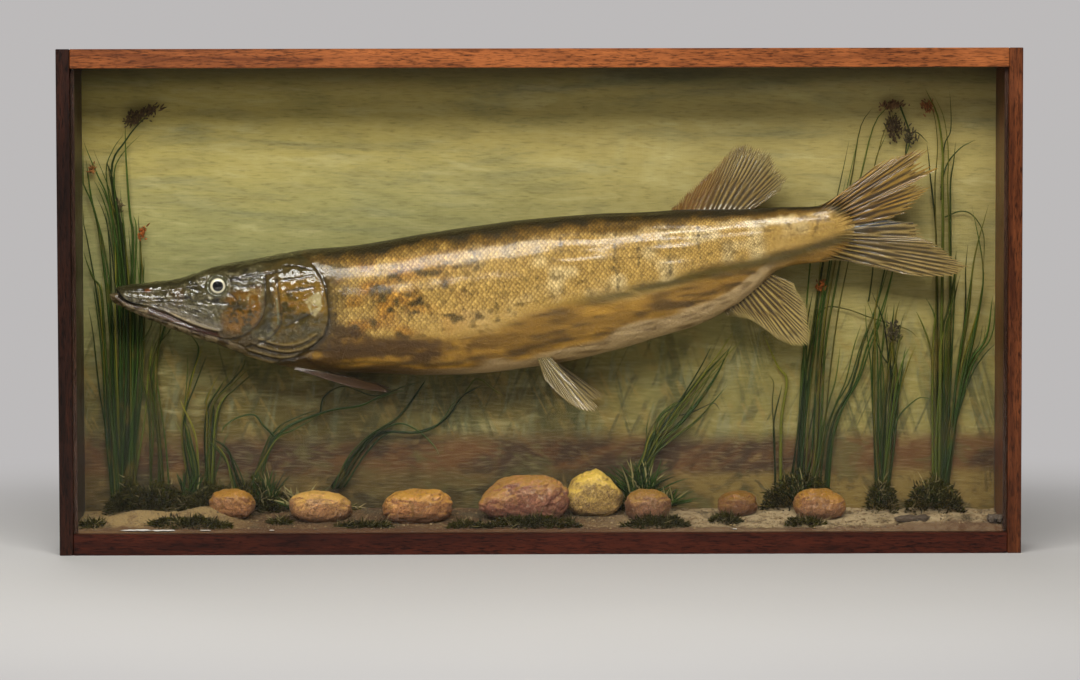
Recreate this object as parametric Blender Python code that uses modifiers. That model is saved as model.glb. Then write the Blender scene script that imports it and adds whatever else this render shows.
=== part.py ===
"""Cased pike: a mounted pike in a flat glazed case, on pegs over a painted back.

The fish lies along its own axis, from the jaw tip to the root of the tail, and
an empty at the jaw tip tilts that axis so that the tail stands higher. The case
stands on its bottom board, with the middle of the base at the world origin.
"""
import math
import random

import bmesh
import bpy
import numpy as np

# ---------------------------------------------------------------- driving sizes
CASE_WIDTH = 1.160
CASE_HEIGHT = 0.609
CASE_DEPTH = 0.140
BOARD = 0.0165              # side boards
TOP_BOARD = 0.012
BOTTOM_BOARD = 0.014
TOP_RAIL = 0.023            # front rails, height as seen
BOTTOM_RAIL = 0.0255
RAIL_DEPTH = 0.0085
GLASS = 0.0025
BEAD = 0.004
BACK_FACE = 0.118           # front arris to the face of the painted back
BACK_BOARD = 0.008
GAP = 0.0003                # left between neighbours
ARRIS = 0.0007              # worn edge of the case boards

FISH_DEPTH = 0.064          # front arris to the middle plane of the fish
JAW_TIP_X = -0.5253
JAW_TIP_Z = 0.3157
FISH_TILT = math.radians(4.55)
BODY_LENGTH = 0.905         # jaw tip to the root of the tail fin

FRONT = -CASE_DEPTH / 2
INNER_X = CASE_WIDTH / 2 - BOARD
BACK_Y = FRONT + BACK_FACE
FISH_Y = FRONT + FISH_DEPTH

# Stations of the body in the fish's own axes: distance from the jaw tip, back,
# belly, half width, level of the widest place, and how round the section is
# (1 is an ellipse, less is boxier).
STATIONS = np.array([
    (0.000, 0.0030, -0.0080, 0.0080, -0.003, 0.90),     # jaw tip
    (0.004, 0.0048, -0.0125, 0.0128, -0.005, 0.84),
    (0.013, 0.0063, -0.0185, 0.0168, -0.008, 0.78),
    (0.048, 0.0076, -0.0385, 0.0212, -0.015, 0.74),     # snout
    (0.090, 0.0105, -0.0590, 0.0248, -0.024, 0.72),
    (0.130, 0.0203, -0.0760, 0.0295, -0.029, 0.74),     # eye
    (0.187, 0.0265, -0.1035, 0.0378, -0.034, 0.82),     # cheek
    (0.237, 0.0318, -0.1165, 0.0432, -0.038, 0.86),     # gill cover
    (0.300, 0.0325, -0.1240, 0.0450, -0.042, 0.88),     # shoulder
    (0.400, 0.0410, -0.1350, 0.0460, -0.044, 0.90),
    (0.540, 0.0478, -0.1312, 0.0455, -0.040, 0.90),     # pelvic fins
    (0.650, 0.0445, -0.1135, 0.0390, -0.030, 0.91),
    (0.740, 0.0415, -0.0880, 0.0300, -0.020, 0.92),     # dorsal and anal fins
    (0.785, 0.0378, -0.0620, 0.0240, -0.008, 0.92),
    (0.815, 0.0376, -0.0405, 0.0190, -0.001, 0.94),
    (0.866, 0.0363, -0.0353, 0.0135, 0.001, 0.97),      # tail stalk
    (0.905, 0.0410, -0.0370, 0.0085, 0.002, 1.00),
])

# Edge between the upper head and what is below it: mouth line, then the lower
# edge of the cheek.
MOUTH = np.array([
    (0.000, -0.0015), (0.012, -0.0045), (0.036, -0.0150), (0.050, -0.0205),
    (0.090, -0.0380), (0.134, -0.0575), (0.185, -0.0745), (0.206, -0.0800),
])
MOUTH_CORNER = 0.134
HEAD_END = 0.205
EYE_X = 0.1346
EYE_Z = -0.0030
EYE_RADIUS = 0.0094
EYE_BULGE = 0.0055

SIDES = 22                  # points round a body section


# ---------------------------------------------------------------- scene set-up
for old in list(bpy.data.objects):
    bpy.data.objects.remove(old, do_unlink=True)

model = bpy.data.collections.new("cased_pike")
cutters = bpy.data.collections.new("cutters")
bpy.context.scene.collection.children.link(model)
bpy.context.scene.collection.children.link(cutters)

pose = bpy.data.objects.new("fish_pose", None)
pose.location = (JAW_TIP_X, FISH_Y, JAW_TIP_Z)
pose.rotation_euler = (0, -FISH_TILT, 0)
model.objects.link(pose)


# ---------------------------------------------------------------- helpers
def finish(name, colour, roughness, metallic=0.0, alpha=1.0):
    """A plain material for one sub-part."""
    material = bpy.data.materials.new(name)
    material.use_nodes = True
    shader = material.node_tree.nodes["Principled BSDF"]
    shader.inputs["Base Color"].default_value = (*colour, 1)
    shader.inputs["Roughness"].default_value = roughness
    shader.inputs["Metallic"].default_value = metallic
    shader.inputs["Alpha"].default_value = alpha
    return material


def add(name, mesh, material, on_fish=False):
    """Put a mesh or curve in the model under its own name and material."""
    obj = bpy.data.objects.new(name, mesh)
    if material is not None:
        mesh.materials.append(material)
    model.objects.link(obj)
    if on_fish:
        obj.parent = pose
    return obj


def closed_mesh(name, points, faces):
    """A mesh of one closed body, its faces turned outwards."""
    mesh = bpy.data.meshes.new(name)
    mesh.from_pydata([tuple(p) for p in points], [], faces)
    work = bmesh.new()
    work.from_mesh(mesh)
    bmesh.ops.recalc_face_normals(work, faces=work.faces)
    work.to_mesh(mesh)
    work.free()
    return mesh


def loft(name, rings, material, on_fish=True):
    """Skin a row of closed rings with the same count of points, and cap both ends."""
    rings = np.asarray(rings)
    rows, count = rings.shape[:2]
    faces = []
    for row in range(rows - 1):
        for i in range(count):
            j = (i + 1) % count
            a = row * count
            b = a + count
            faces.append((a + i, a + j, b + j, b + i))
    faces.append(tuple(range(count)))
    faces.append(tuple((rows - 1) * count + i for i in range(count)))
    obj = add(name, closed_mesh(name, rings.reshape(-1, 3), faces), material, on_fish)
    obj.data.shade_smooth()
    obj.data.set_sharp_from_angle(angle=math.radians(50))
    return obj


def box(name, low, high, material, arris=ARRIS):
    """A board between two corners, its edges eased."""
    work = bmesh.new()
    bmesh.ops.create_cube(work, size=1)
    size = [h - l for l, h in zip(low, high)]
    bmesh.ops.scale(work, vec=size, verts=work.verts)
    mesh = bpy.data.meshes.new(name)
    work.to_mesh(mesh)
    work.free()
    obj = add(name, mesh, material)
    obj.location = [(l + h) / 2 for l, h in zip(low, high)]
    if arris:
        bevel = obj.modifiers.new("arris", "BEVEL")
        bevel.width = arris
        bevel.segments = 1
    return obj


def outline(name, points, thickness, material, on_fish=True):
    """A flat closed outline in the XZ plane, given a thickness along Y."""
    curve = bpy.data.curves.new(name, "CURVE")
    curve.dimensions = "2D"
    curve.fill_mode = "BOTH"
    curve.extrude = thickness / 2
    spline = curve.splines.new("POLY")
    spline.points.add(len(points) - 1)
    for point, (x, z) in zip(spline.points, points):
        point.co = (x, z, 0, 1)
    spline.use_cyclic_u = True
    obj = add(name, curve, material, on_fish)
    obj.rotation_euler = (math.pi / 2, 0, 0)
    return obj


def through(table, x):
    """Cubic curve through the rows of a table, its slopes taken from the neighbours."""
    keys = table[:, 0]
    values = table[:, 1:]
    slopes = np.gradient(values, keys, axis=0)
    x = np.clip(np.atleast_1d(x), keys[0], keys[-1])
    i = np.clip(np.searchsorted(keys, x, side="right") - 1, 0, len(keys) - 2)
    span = (keys[i + 1] - keys[i])[:, None]
    u = ((x - keys[i])[:, None]) / span
    return ((2 * u**3 - 3 * u**2 + 1) * values[i] + (u**3 - 2 * u**2 + u) * span * slopes[i]
            + (3 * u**2 - 2 * u**3) * values[i + 1] + (u**3 - u**2) * span * slopes[i + 1])


def station(x):
    """Back, belly, half width, widest level and roundness at a place on the body."""
    return through(STATIONS, x)[0]


def mouth_level(x):
    return through(MOUTH, x)[0][0]


def angle_at(x, level):
    """Angle round the section at which the flank passes a level."""
    back, belly, _, widest, roundness = station(x)
    reach = back - widest if level > widest else widest - belly
    share = min(abs(level - widest) / reach, 1.0)
    return math.copysign(math.asin(share ** (1 / roundness)), level - widest)


def flank(x, angle):
    """Half width and level of the body at an angle up from its widest place."""
    back, belly, half, widest, roundness = station(x)
    rise = back - widest if angle > 0 else widest - belly
    y = half * max(math.cos(angle), 0.0) ** roundness
    z = widest + math.copysign(rise * abs(math.sin(angle)) ** roundness, angle)
    return y, z


def section(x, low, high, count=SIDES):
    """Closed ring of the body at x, from one angle up to another and back on the far side."""
    half = count // 2
    near = [flank(x, low + (high - low) * k / (half - 1)) for k in range(half)]
    floor = 0.0006
    ring = [(x, -max(y, floor), z) for y, z in near]
    ring += [(x, max(y, floor), z) for y, z in reversed(near)]
    return ring


def keyed(name, target, operation="DIFFERENCE"):
    """Cut one object with another that is in the cutters' collection."""
    cut = target.modifiers.new(name, "BOOLEAN")
    cut.operation = operation
    cut.solver = "EXACT"
    cut.object = cutters.objects[name]


def to_cutters(obj):
    model.objects.unlink(obj)
    cutters.objects.link(obj)
    obj.hide_render = True
    obj.display_type = "WIRE"


# ---------------------------------------------------------------- case
mahogany = finish("mahogany", (0.17, 0.055, 0.022), 0.38)
mahogany_top = finish("mahogany_rail", (0.33, 0.12, 0.045), 0.38)
painted_back = finish("painted_back", (0.40, 0.38, 0.19), 0.75)
pane = finish("pane", (0.93, 0.96, 0.94), 0.05, alpha=0.15)

half_w = CASE_WIDTH / 2
back_edge = CASE_DEPTH / 2
glass_y = FRONT + RAIL_DEPTH + GAP
bead_y = glass_y + GLASS + GAP
inside_y = bead_y + BEAD + GAP

for side, sign in (("left", -1), ("right", 1)):
    xs = sorted((sign * half_w, sign * INNER_X))
    box("side_board_" + side, (xs[0], FRONT, 0), (xs[1], back_edge, CASE_HEIGHT), mahogany)
    xs = sorted((sign * (INNER_X - GAP), sign * (INNER_X - GAP - BEAD)))
    box("bead_" + side, (xs[0], bead_y, BOTTOM_RAIL + GAP), (xs[1], bead_y + BEAD, CASE_HEIGHT - TOP_RAIL - GAP),
        mahogany, 0)

inner = INNER_X - GAP
top_z = CASE_HEIGHT - TOP_BOARD
box("top_board", (-inner, FRONT + RAIL_DEPTH + GAP, top_z), (inner, back_edge, CASE_HEIGHT), mahogany_top)
box("top_rail", (-inner, FRONT, CASE_HEIGHT - TOP_RAIL), (inner, FRONT + RAIL_DEPTH, CASE_HEIGHT), mahogany_top)
box("bottom_board", (-inner, FRONT + RAIL_DEPTH + GAP, 0), (inner, back_edge, BOTTOM_BOARD), mahogany)
box("bottom_rail", (-inner, FRONT, 0), (inner, FRONT + RAIL_DEPTH, BOTTOM_RAIL), mahogany)
box("glass_front", (-inner, glass_y, BOTTOM_BOARD + GAP), (inner, glass_y + GLASS, top_z - GAP), pane, 0)
box("bead_top", (-inner, bead_y, CASE_HEIGHT - TOP_RAIL), (inner, bead_y + BEAD, top_z - GAP), mahogany, 0)
box("bead_bottom", (-inner, bead_y, BOTTOM_BOARD + GAP), (inner, bead_y + BEAD, BOTTOM_RAIL), mahogany, 0)
box("backboard", (-inner, BACK_Y, BOTTOM_BOARD + GAP), (inner, BACK_Y + BACK_BOARD, top_z - GAP), painted_back, 0)

# ---------------------------------------------------------------- groundwork
sand = finish("sand", (0.36, 0.29, 0.18), 0.9)
GROUND_FRONT = 0.0285
GROUND_BACK = 0.0430
BED_COLUMNS = 48
BED_ROWS = 7
bed_front = inside_y
bed_back = BACK_Y - GAP

# Low mounds of sand: middle x, middle y, reach along x, reach along y, height
MOUNDS = (
    (-0.475, -0.025, 0.070, 0.022, 0.013),
    (0.500, -0.030, 0.075, 0.022, 0.011),
    (0.300, 0.020, 0.140, 0.030, 0.004),
    (-0.150, 0.025, 0.160, 0.030, 0.004),
)


def ground(x, y):
    """Level of the sand: a rise from front to back, with low mounds on it."""
    share = (y - bed_front) / (bed_back - bed_front)
    level = GROUND_FRONT + (GROUND_BACK - GROUND_FRONT) * share
    for mx, my, reach_x, reach_y, height in MOUNDS:
        far = ((x - mx) / reach_x) ** 2 + ((y - my) / reach_y) ** 2
        level += height * math.exp(-far)
    return level


bed_top = []
for row in range(BED_ROWS + 1):
    y = bed_front + (bed_back - bed_front) * row / BED_ROWS
    for column in range(BED_COLUMNS + 1):
        x = (inner - GAP) * (2 * column / BED_COLUMNS - 1)
        bed_top.append((x, y, ground(x, y)))
bed_floor = BOTTOM_BOARD + GAP
rim = [k for k in range(BED_COLUMNS + 1)]
rim += [BED_COLUMNS + (BED_COLUMNS + 1) * r for r in range(1, BED_ROWS + 1)]
rim += [(BED_COLUMNS + 1) * BED_ROWS + k for k in range(BED_COLUMNS - 1, -1, -1)]
rim += [(BED_COLUMNS + 1) * r for r in range(BED_ROWS - 1, 0, -1)]
bed_points = bed_top + [(bed_top[k][0], bed_top[k][1], bed_floor) for k in rim]
bed_faces = []
for row in range(BED_ROWS):
    for column in range(BED_COLUMNS):
        a = row * (BED_COLUMNS + 1) + column
        bed_faces.append((a, a + 1, a + BED_COLUMNS + 2, a + BED_COLUMNS + 1))
base = len(bed_top)
for k, here in enumerate(rim):
    nxt = (k + 1) % len(rim)
    bed_faces.append((here, base + k, base + nxt, rim[nxt]))
bed_faces.append(tuple(base + k for k in range(len(rim))))
add("groundwork", closed_mesh("groundwork", bed_points, bed_faces), sand)

# ---------------------------------------------------------------- stones and moss
STONE_SIDES = 14
STONE_ROWS = 8
BEDDING = 0.0009            # clearance of a bedded piece over the sand

# Middle x, middle y, half length, half depth, top level
STONES = (
    (-0.376, -0.002, 0.029, 0.021, 0.075),
    (-0.269, -0.004, 0.040, 0.025, 0.072),
    (-0.150, -0.010, 0.044, 0.025, 0.075),
    (-0.018, -0.006, 0.056, 0.027, 0.092),
    (0.066, 0.016, 0.035, 0.023, 0.096),
    (0.132, -0.006, 0.030, 0.021, 0.074),
    (0.242, 0.008, 0.027, 0.018, 0.069),
    (0.341, -0.002, 0.034, 0.022, 0.074),
)

MOSS = (
    (-0.487, 0.026, 0.043, 0.011, 0.082),
    (-0.391, 0.0315, 0.048, 0.0075, 0.082),
    (-0.425, -0.042, 0.050, 0.009, 0.050),
    (-0.010, -0.044, 0.060, 0.007, 0.051),
    (0.140, -0.042, 0.040, 0.009, 0.051),
    (0.319, 0.030, 0.042, 0.008, 0.092),
    (0.486, 0.026, 0.034, 0.011, 0.080),
)


def bedded(name, place, lumps, material, seed):
    """A lumpy rounded piece whose underside follows the sand."""
    x, y, half_length, half_depth, top = place
    rng = random.Random(seed)
    waves = [(rng.uniform(1.5, 3.5), rng.uniform(1.5, 3.5), rng.uniform(0, 6.28)) for _ in range(3)]
    low = ground(x, y) - 0.3 * (top - ground(x, y))
    middle = (top + low) / 2
    half_height = (top - low) / 2
    work = bmesh.new()
    bmesh.ops.create_uvsphere(work, u_segments=STONE_SIDES, v_segments=STONE_ROWS, radius=1)
    for vertex in work.verts:
        px, py, pz = vertex.co
        swell = 1 + lumps * sum(math.sin(a * px + b * py + c) for a, b, c in waves) / 3
        vx = x + half_length * px * swell
        vy = y + half_depth * py * swell
        vz = middle + half_height * pz
        vertex.co = (vx, vy, max(vz, ground(vx, vy) + BEDDING))
    mesh = bpy.data.meshes.new(name)
    work.to_mesh(mesh)
    work.free()
    obj = add(name, mesh, material)
    obj.data.shade_smooth()
    return obj


stone = finish("stone", (0.42, 0.27, 0.17), 0.7)
for k, place in enumerate(STONES):
    bedded(f"stone_{k + 1}", place, 0.07, stone, 10 + k)
moss = finish("moss", (0.05, 0.06, 0.02), 0.95)
for k, place in enumerate(MOSS):
    bedded(f"moss_{k + 1}", place, 0.12, moss, 40 + k)

# ---------------------------------------------------------------- reeds
REED_THICKNESS = 0.0024
REED_Y = 0.0425
NOTCH = 0.30                # how far up the blades of a clump part

# Root x, root width, then the tip of each blade from left to right
REEDS = (
    (-0.508, 0.024, ((-0.549, 0.462), (-0.516, 0.542), (-0.491, 0.390), (-0.470, 0.530))),
    (-0.412, 0.034, ((-0.461, 0.262), (-0.443, 0.250), (-0.402, 0.228), (-0.358, 0.220))),
    (-0.335, 0.020, ((-0.330, 0.190), (-0.298, 0.162), (-0.224, 0.178))),
    (-0.241, 0.018, ((-0.137, 0.200), (-0.076, 0.186), (-0.060, 0.150))),
    (0.110, 0.026, ((0.190, 0.205), (0.222, 0.250), (0.205, 0.170))),
    (0.296, 0.012, ((0.277, 0.252), (0.286, 0.180))),
    (0.330, 0.022, ((0.351, 0.470), (0.379, 0.500), (0.420, 0.530))),
    (0.416, 0.014, ((0.405, 0.325), (0.430, 0.255))),
    (0.488, 0.026, ((0.480, 0.540), (0.504, 0.474), (0.560, 0.340), (0.545, 0.240))),
)
reed = finish("reed", (0.10, 0.15, 0.04), 0.6)
for k, (root, width, tips) in enumerate(REEDS):
    foot = ground(root, REED_Y) + 2 * BEDDING
    points = [(root - width / 2, foot)]
    for i, (x, z) in enumerate(tips):
        points += [(x - 0.0008, z), (x + 0.0008, z)]
        if i + 1 < len(tips):
            next_x, next_z = tips[i + 1]
            share = (i + 1) / len(tips) - 0.5
            notch_x = root + share * width + NOTCH * ((x + next_x) / 2 - root)
            points.append((notch_x, foot + NOTCH * (min(z, next_z) - foot)))
    points.append((root + width / 2, foot))
    obj = outline(f"reed_clump_{k + 1}", points, REED_THICKNESS, reed, on_fish=False)
    obj.location.y = REED_Y

# ---------------------------------------------------------------- fish: body
back_skin = finish("pike_skin", (0.36, 0.24, 0.09), 0.35)
TOP = math.pi / 2


def body_length(name, places):
    """One length of the body, whole round."""
    return loft(name, [section(x, -TOP, TOP) for x in places], back_skin)


def mouth_opening(x):
    """Half the gap between the lips: open a little near the tip, shut at the corner."""
    return GAP + 0.0016 * math.exp(-((x - 0.022) / 0.016) ** 2)


head_places = (0, 0.005, 0.013, 0.03, 0.05, 0.07, 0.09, 0.11, 0.13, 0.15, 0.17, 0.19, HEAD_END)
head = loft("head", [section(x, angle_at(x, mouth_level(x) + mouth_opening(x)), TOP) for x in head_places],
            back_skin)
jaw_places = (0, 0.005, 0.013, 0.03, 0.05, 0.08, 0.11, MOUTH_CORNER)
loft("lower_jaw", [section(x, -TOP, angle_at(x, mouth_level(x) - mouth_opening(x))) for x in jaw_places],
     back_skin)
throat_places = (MOUTH_CORNER + GAP, 0.15, 0.17, 0.188, HEAD_END)
throat = loft("throat", [section(x, -TOP, angle_at(x, mouth_level(x) - GAP)) for x in throat_places], back_skin)

CUTS = (HEAD_END + GAP, 0.42, 0.585, 0.785, BODY_LENGTH)
RINGS = (9, 6, 9, 7)
LENGTHS = ("trunk_front", "trunk_middle", "trunk_rear", "tail_stalk")
for name, start, end, rings in zip(LENGTHS, CUTS, CUTS[1:], RINGS):
    first = start if name == "trunk_front" else start + GAP
    body_length(name, np.linspace(first, end, rings))
trunk_front = bpy.data.objects["trunk_front"]

# ---------------------------------------------------------------- fish: gill covers
GILL_MIDDLE = (0.222, -0.040)
GILL_EDGE = (
    (0.197, 0.002), (0.195, -0.030), (0.186, -0.050), (0.166, -0.066), (0.185, -0.077), (0.212, -0.089),
    (0.236, -0.091), (0.256, -0.076), (0.265, -0.056), (0.2665, -0.036), (0.263, -0.012), (0.252, 0.006),
    (0.225, 0.009),
)
GILL_THICKNESS = 0.0034
GILL_PROUD = 0.0012
gill_bone = finish("gill_cover", (0.34, 0.20, 0.08), 0.35)


def rounded(points):
    """Twice the points of a closed outline, the new ones on a smooth curve through the old."""
    p = np.array(points)
    before, after, beyond = (np.roll(p, shift, axis=0) for shift in (1, -1, -2))
    between = (9 * (p + after) - before - beyond) / 16
    return np.stack([p, between], axis=1).reshape(-1, 2)


def flank_y(x, level):
    """Half width of the body at a level."""
    return flank(x, angle_at(x, level))[0]


def gill_cover(name, side, grow, outer, inner):
    """A curved plate over the flank, between two offsets from its surface."""
    shares = (0.35, 0.7, 1.0)
    mx, mz = GILL_MIDDLE
    edge = rounded(GILL_EDGE)
    layers = []
    for offset in (outer, -inner):
        layer = [(mx, side * (flank_y(mx, mz) + offset), mz)]
        for share in shares:
            for x, z in edge:
                reach = math.hypot(x - mx, z - mz)
                scale = share * (reach + grow) / reach
                px = mx + (x - mx) * scale
                pz = mz + (z - mz) * scale
                layer.append((px, side * (flank_y(px, pz) + offset), pz))
        layers.append(layer)
    count = len(edge)
    size = len(layers[0])
    faces = []
    for layer in range(2):
        b = layer * size
        for i in range(count):
            j = (i + 1) % count
            faces.append((b, b + 1 + i, b + 1 + j))
            for ring in range(len(shares) - 1):
                r = b + 1 + ring * count
                faces.append((r + i, r + count + i, r + count + j, r + j))
    last = 1 + (len(shares) - 1) * count
    for i in range(count):
        j = (i + 1) % count
        faces.append((last + i, size + last + i, size + last + j, last + j))
    mesh = closed_mesh(name, layers[0] + layers[1], faces)
    obj = add(name, mesh, gill_bone, on_fish=True)
    obj.data.shade_smooth()
    obj.data.set_sharp_from_angle(angle=math.radians(50))
    return obj


for side_name, side in (("left", -1), ("right", 1)):
    gill_cover("gill_cover_" + side_name, side, 0, GILL_PROUD, GILL_THICKNESS)
    cutter = gill_cover("gill_seat_" + side_name, side, 2 * GAP, 0.010, GILL_THICKNESS + 3 * GAP)
    to_cutters(cutter)
    for part in (head, throat, trunk_front):
        keyed(cutter.name, part)

# ---------------------------------------------------------------- fish: eyes
glass_eye = finish("glass_eye", (0.55, 0.50, 0.36), 0.08)
eye_y = flank_y(EYE_X, EYE_Z) - 0.0032
for side_name, side in (("left", -1), ("right", 1)):
    for name, grow in (("eye_" + side_name, 0), ("socket_" + side_name, 1.6 * GAP)):
        work = bmesh.new()
        bmesh.ops.create_uvsphere(work, u_segments=16, v_segments=8, radius=1)
        bmesh.ops.scale(work, vec=(EYE_RADIUS + grow, EYE_BULGE + grow, EYE_RADIUS + grow), verts=work.verts)
        mesh = bpy.data.meshes.new(name)
        work.to_mesh(mesh)
        work.free()
        obj = add(name, mesh, glass_eye, on_fish=True)
        obj.location = (EYE_X, side * eye_y, EYE_Z)
        obj.data.shade_smooth()
        if grow:
            to_cutters(obj)
            keyed(name, head)

# ---------------------------------------------------------------- fish: fins
FIN = 0.0014
fin_skin = finish("fin", (0.38, 0.25, 0.11), 0.45)
SEAT = 0.0008               # clearance of a fin's root over the skin


def along(row, first, last, count):
    """Points on the back (row 0) or the belly (row 1) of the body, clear of the skin."""
    sign = 1 if row == 0 else -1
    return [(x, station(x)[row] + sign * SEAT) for x in np.linspace(first, last, count)]


dorsal = along(0, 0.784, 0.688, 7) + [
    (0.709, 0.064), (0.757, 0.102), (0.773, 0.1165), (0.791, 0.1216), (0.799, 0.119), (0.822, 0.101),
    (0.831, 0.089), (0.838, 0.078), (0.835, 0.069), (0.821, 0.062), (0.832, 0.056), (0.811, 0.049)]
outline("dorsal_fin", dorsal, FIN, fin_skin)

anal = along(1, 0.741, 0.801, 7) + [
    (0.821, -0.0535), (0.840, -0.058), (0.8505, -0.087), (0.8525, -0.106), (0.852, -0.128), (0.846, -0.136),
    (0.825, -0.136), (0.812, -0.129), (0.788, -0.110), (0.765, -0.097)]
outline("anal_fin", anal, FIN, fin_skin)

ROOT = BODY_LENGTH + SEAT
FORK = (0.9545, 0.0110)
upper_lobe = [
    (ROOT, 0.0402), (0.931, 0.0645), (0.9546, 0.0846), (0.982, 0.091), (1.002, 0.098), (1.020, 0.0963),
    (1.004, 0.084), (1.0256, 0.070), (0.992, 0.0530), (1.018, 0.0489), (0.997, 0.032), (0.990, 0.0194),
    (FORK[0], FORK[1] + GAP), (ROOT, 0.0030 + GAP)]
outline("tail_fin_upper", upper_lobe, FIN, fin_skin)
lower_lobe = [
    (ROOT, 0.0030 - GAP), (FORK[0], FORK[1] - GAP), (0.9925, 0.0045), (1.0008, -0.0146), (1.0124, -0.0228),
    (1.0378, -0.0433), (1.0516, -0.0554), (1.034, -0.0662), (0.997, -0.0645), (0.9753, -0.0602),
    (0.9526, -0.0522), (0.9314, -0.0419), (ROOT, -0.0360)]
outline("tail_fin_lower", lower_lobe, FIN, fin_skin)

PELVIC_X = 0.5215
PELVIC_Y = 0.024
PELVIC_LEAN = math.radians(12)
pelvic = ((-0.0095, 0.0015), (-0.001, -0.025), (0.0135, -0.043), (0.0315, -0.0615), (0.0395, -0.067),
          (0.0575, -0.071), (0.065, -0.0665), (0.0515, -0.053), (0.035, -0.0325), (0.019, -0.020),
          (0.0095, -0.0005))
pelvic_z = -station(PELVIC_X)[1]
PECTORAL_X = 0.222
PECTORAL_PITCH = math.radians(19)
PECTORAL_ROLL = math.radians(14)
pectoral = ((0, 0.004), (0.040, 0.011), (0.080, 0.016), (0.105, 0.013), (0.118, 0.003), (0.114, -0.007),
            (0.095, -0.015), (0.070, -0.018), (0.035, -0.013), (0, -0.006))
for side_name, side in (("left", -1), ("right", 1)):
    swing = 0 if side < 0 else math.radians(9)
    turned = [(x * math.cos(swing) - z * math.sin(swing), x * math.sin(swing) + z * math.cos(swing))
              for x, z in pelvic]
    fin = outline("pelvic_fin_" + side_name, turned, FIN, fin_skin)
    fin.location = (PELVIC_X, side * PELVIC_Y, -0.1255)
    fin.rotation_euler = (math.pi / 2 + side * PELVIC_LEAN, 0, 0)
    points = [(x, -side * y) for x, y in pectoral]
    fin = outline("pectoral_fin_" + side_name, points, FIN, fin_skin)
    fin.location = (PECTORAL_X, side * 0.030, -0.110)
    fin.rotation_euler = (-side * PECTORAL_ROLL, PECTORAL_PITCH, 0)

# ---------------------------------------------------------------- pegs to the back
PEG_RADIUS = 0.009
peg_wood = finish("peg", (0.25, 0.17, 0.09), 0.7)
for name, x, z in (("peg_front", 0.300, -0.042), ("peg_rear", 0.620, -0.034)):
    start = flank_y(x, z) + 0.001
    end = BACK_Y - FISH_Y - GAP
    work = bmesh.new()
    bmesh.ops.create_cone(work, cap_ends=True, segments=16, radius1=PEG_RADIUS, radius2=PEG_RADIUS,
                          depth=end - start)
    mesh = bpy.data.meshes.new(name)
    work.to_mesh(mesh)
    work.free()
    peg = add(name, mesh, peg_wood, on_fish=True)
    peg.rotation_euler = (math.pi / 2, 0, 0)
    peg.location = (x, (start + end) / 2, z)
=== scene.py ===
"""The looks of a cased pike: a mounted pike in a flat glazed mahogany case.

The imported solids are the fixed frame. Boards, rails, beads, back, pane and pegs
keep their solids and get finishes; ground, stones, moss, reeds and the fish are
made again here as fine surfaces that stand where their solids are. Sizes are in
metres, and those given to mm() in millimetres. The fish is worked out along its
own axis, from the jaw tip at x = 0 to the root of the tail, and is then tilted
into the case.
"""
import math

import bpy
import numpy as np
from mathutils import Matrix, Vector


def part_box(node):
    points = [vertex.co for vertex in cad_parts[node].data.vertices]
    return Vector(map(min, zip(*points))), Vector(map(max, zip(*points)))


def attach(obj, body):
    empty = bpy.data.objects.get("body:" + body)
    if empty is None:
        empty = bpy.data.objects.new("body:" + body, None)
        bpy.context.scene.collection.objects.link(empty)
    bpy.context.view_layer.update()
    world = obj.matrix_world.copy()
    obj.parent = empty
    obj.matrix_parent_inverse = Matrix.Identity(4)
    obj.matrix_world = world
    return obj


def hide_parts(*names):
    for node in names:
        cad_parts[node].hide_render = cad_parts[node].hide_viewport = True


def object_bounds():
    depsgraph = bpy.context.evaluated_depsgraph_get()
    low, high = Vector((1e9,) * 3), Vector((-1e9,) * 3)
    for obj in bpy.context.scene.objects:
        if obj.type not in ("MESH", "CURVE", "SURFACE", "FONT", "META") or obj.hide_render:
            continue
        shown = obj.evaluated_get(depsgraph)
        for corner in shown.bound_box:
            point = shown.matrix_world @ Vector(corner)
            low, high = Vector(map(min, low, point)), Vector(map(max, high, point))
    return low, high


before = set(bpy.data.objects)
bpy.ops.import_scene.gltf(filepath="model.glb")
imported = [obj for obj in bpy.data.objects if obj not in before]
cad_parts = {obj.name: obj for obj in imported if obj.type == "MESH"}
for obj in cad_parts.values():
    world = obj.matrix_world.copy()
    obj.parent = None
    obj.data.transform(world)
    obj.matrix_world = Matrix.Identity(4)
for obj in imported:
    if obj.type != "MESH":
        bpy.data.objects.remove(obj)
cad_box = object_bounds()

# ------------------------------------------------------------ camera, floor and lights
# A studio for one wide, flat piece: a long lens a little above the case, a pale floor,
# one large soft box above the camera for the sheen on the varnish, and pale light all round.
CAMERA_PLACE = (-0.0328, -4.370, 0.4739)
CAMERA_LENS = 119.3
CAMERA_TURN = math.radians(-0.430)      # about the vertical
CAMERA_TILT = math.radians(87.140)      # 90 degrees would look level
CAMERA_ROLL = math.radians(-0.116)
FLOOR_REACH = 12.0
CASE_MIDDLE = (0.0, 0.0, (cad_box[0][2] + cad_box[1][2]) / 2)
SOFT_BOX_DISTANCE = 3.0
SOFT_BOX_RISE = math.radians(38.0)
SOFT_BOX_PLACE = (-0.3, -SOFT_BOX_DISTANCE * math.cos(SOFT_BOX_RISE),
                  CASE_MIDDLE[2] + SOFT_BOX_DISTANCE * math.sin(SOFT_BOX_RISE))
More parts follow.
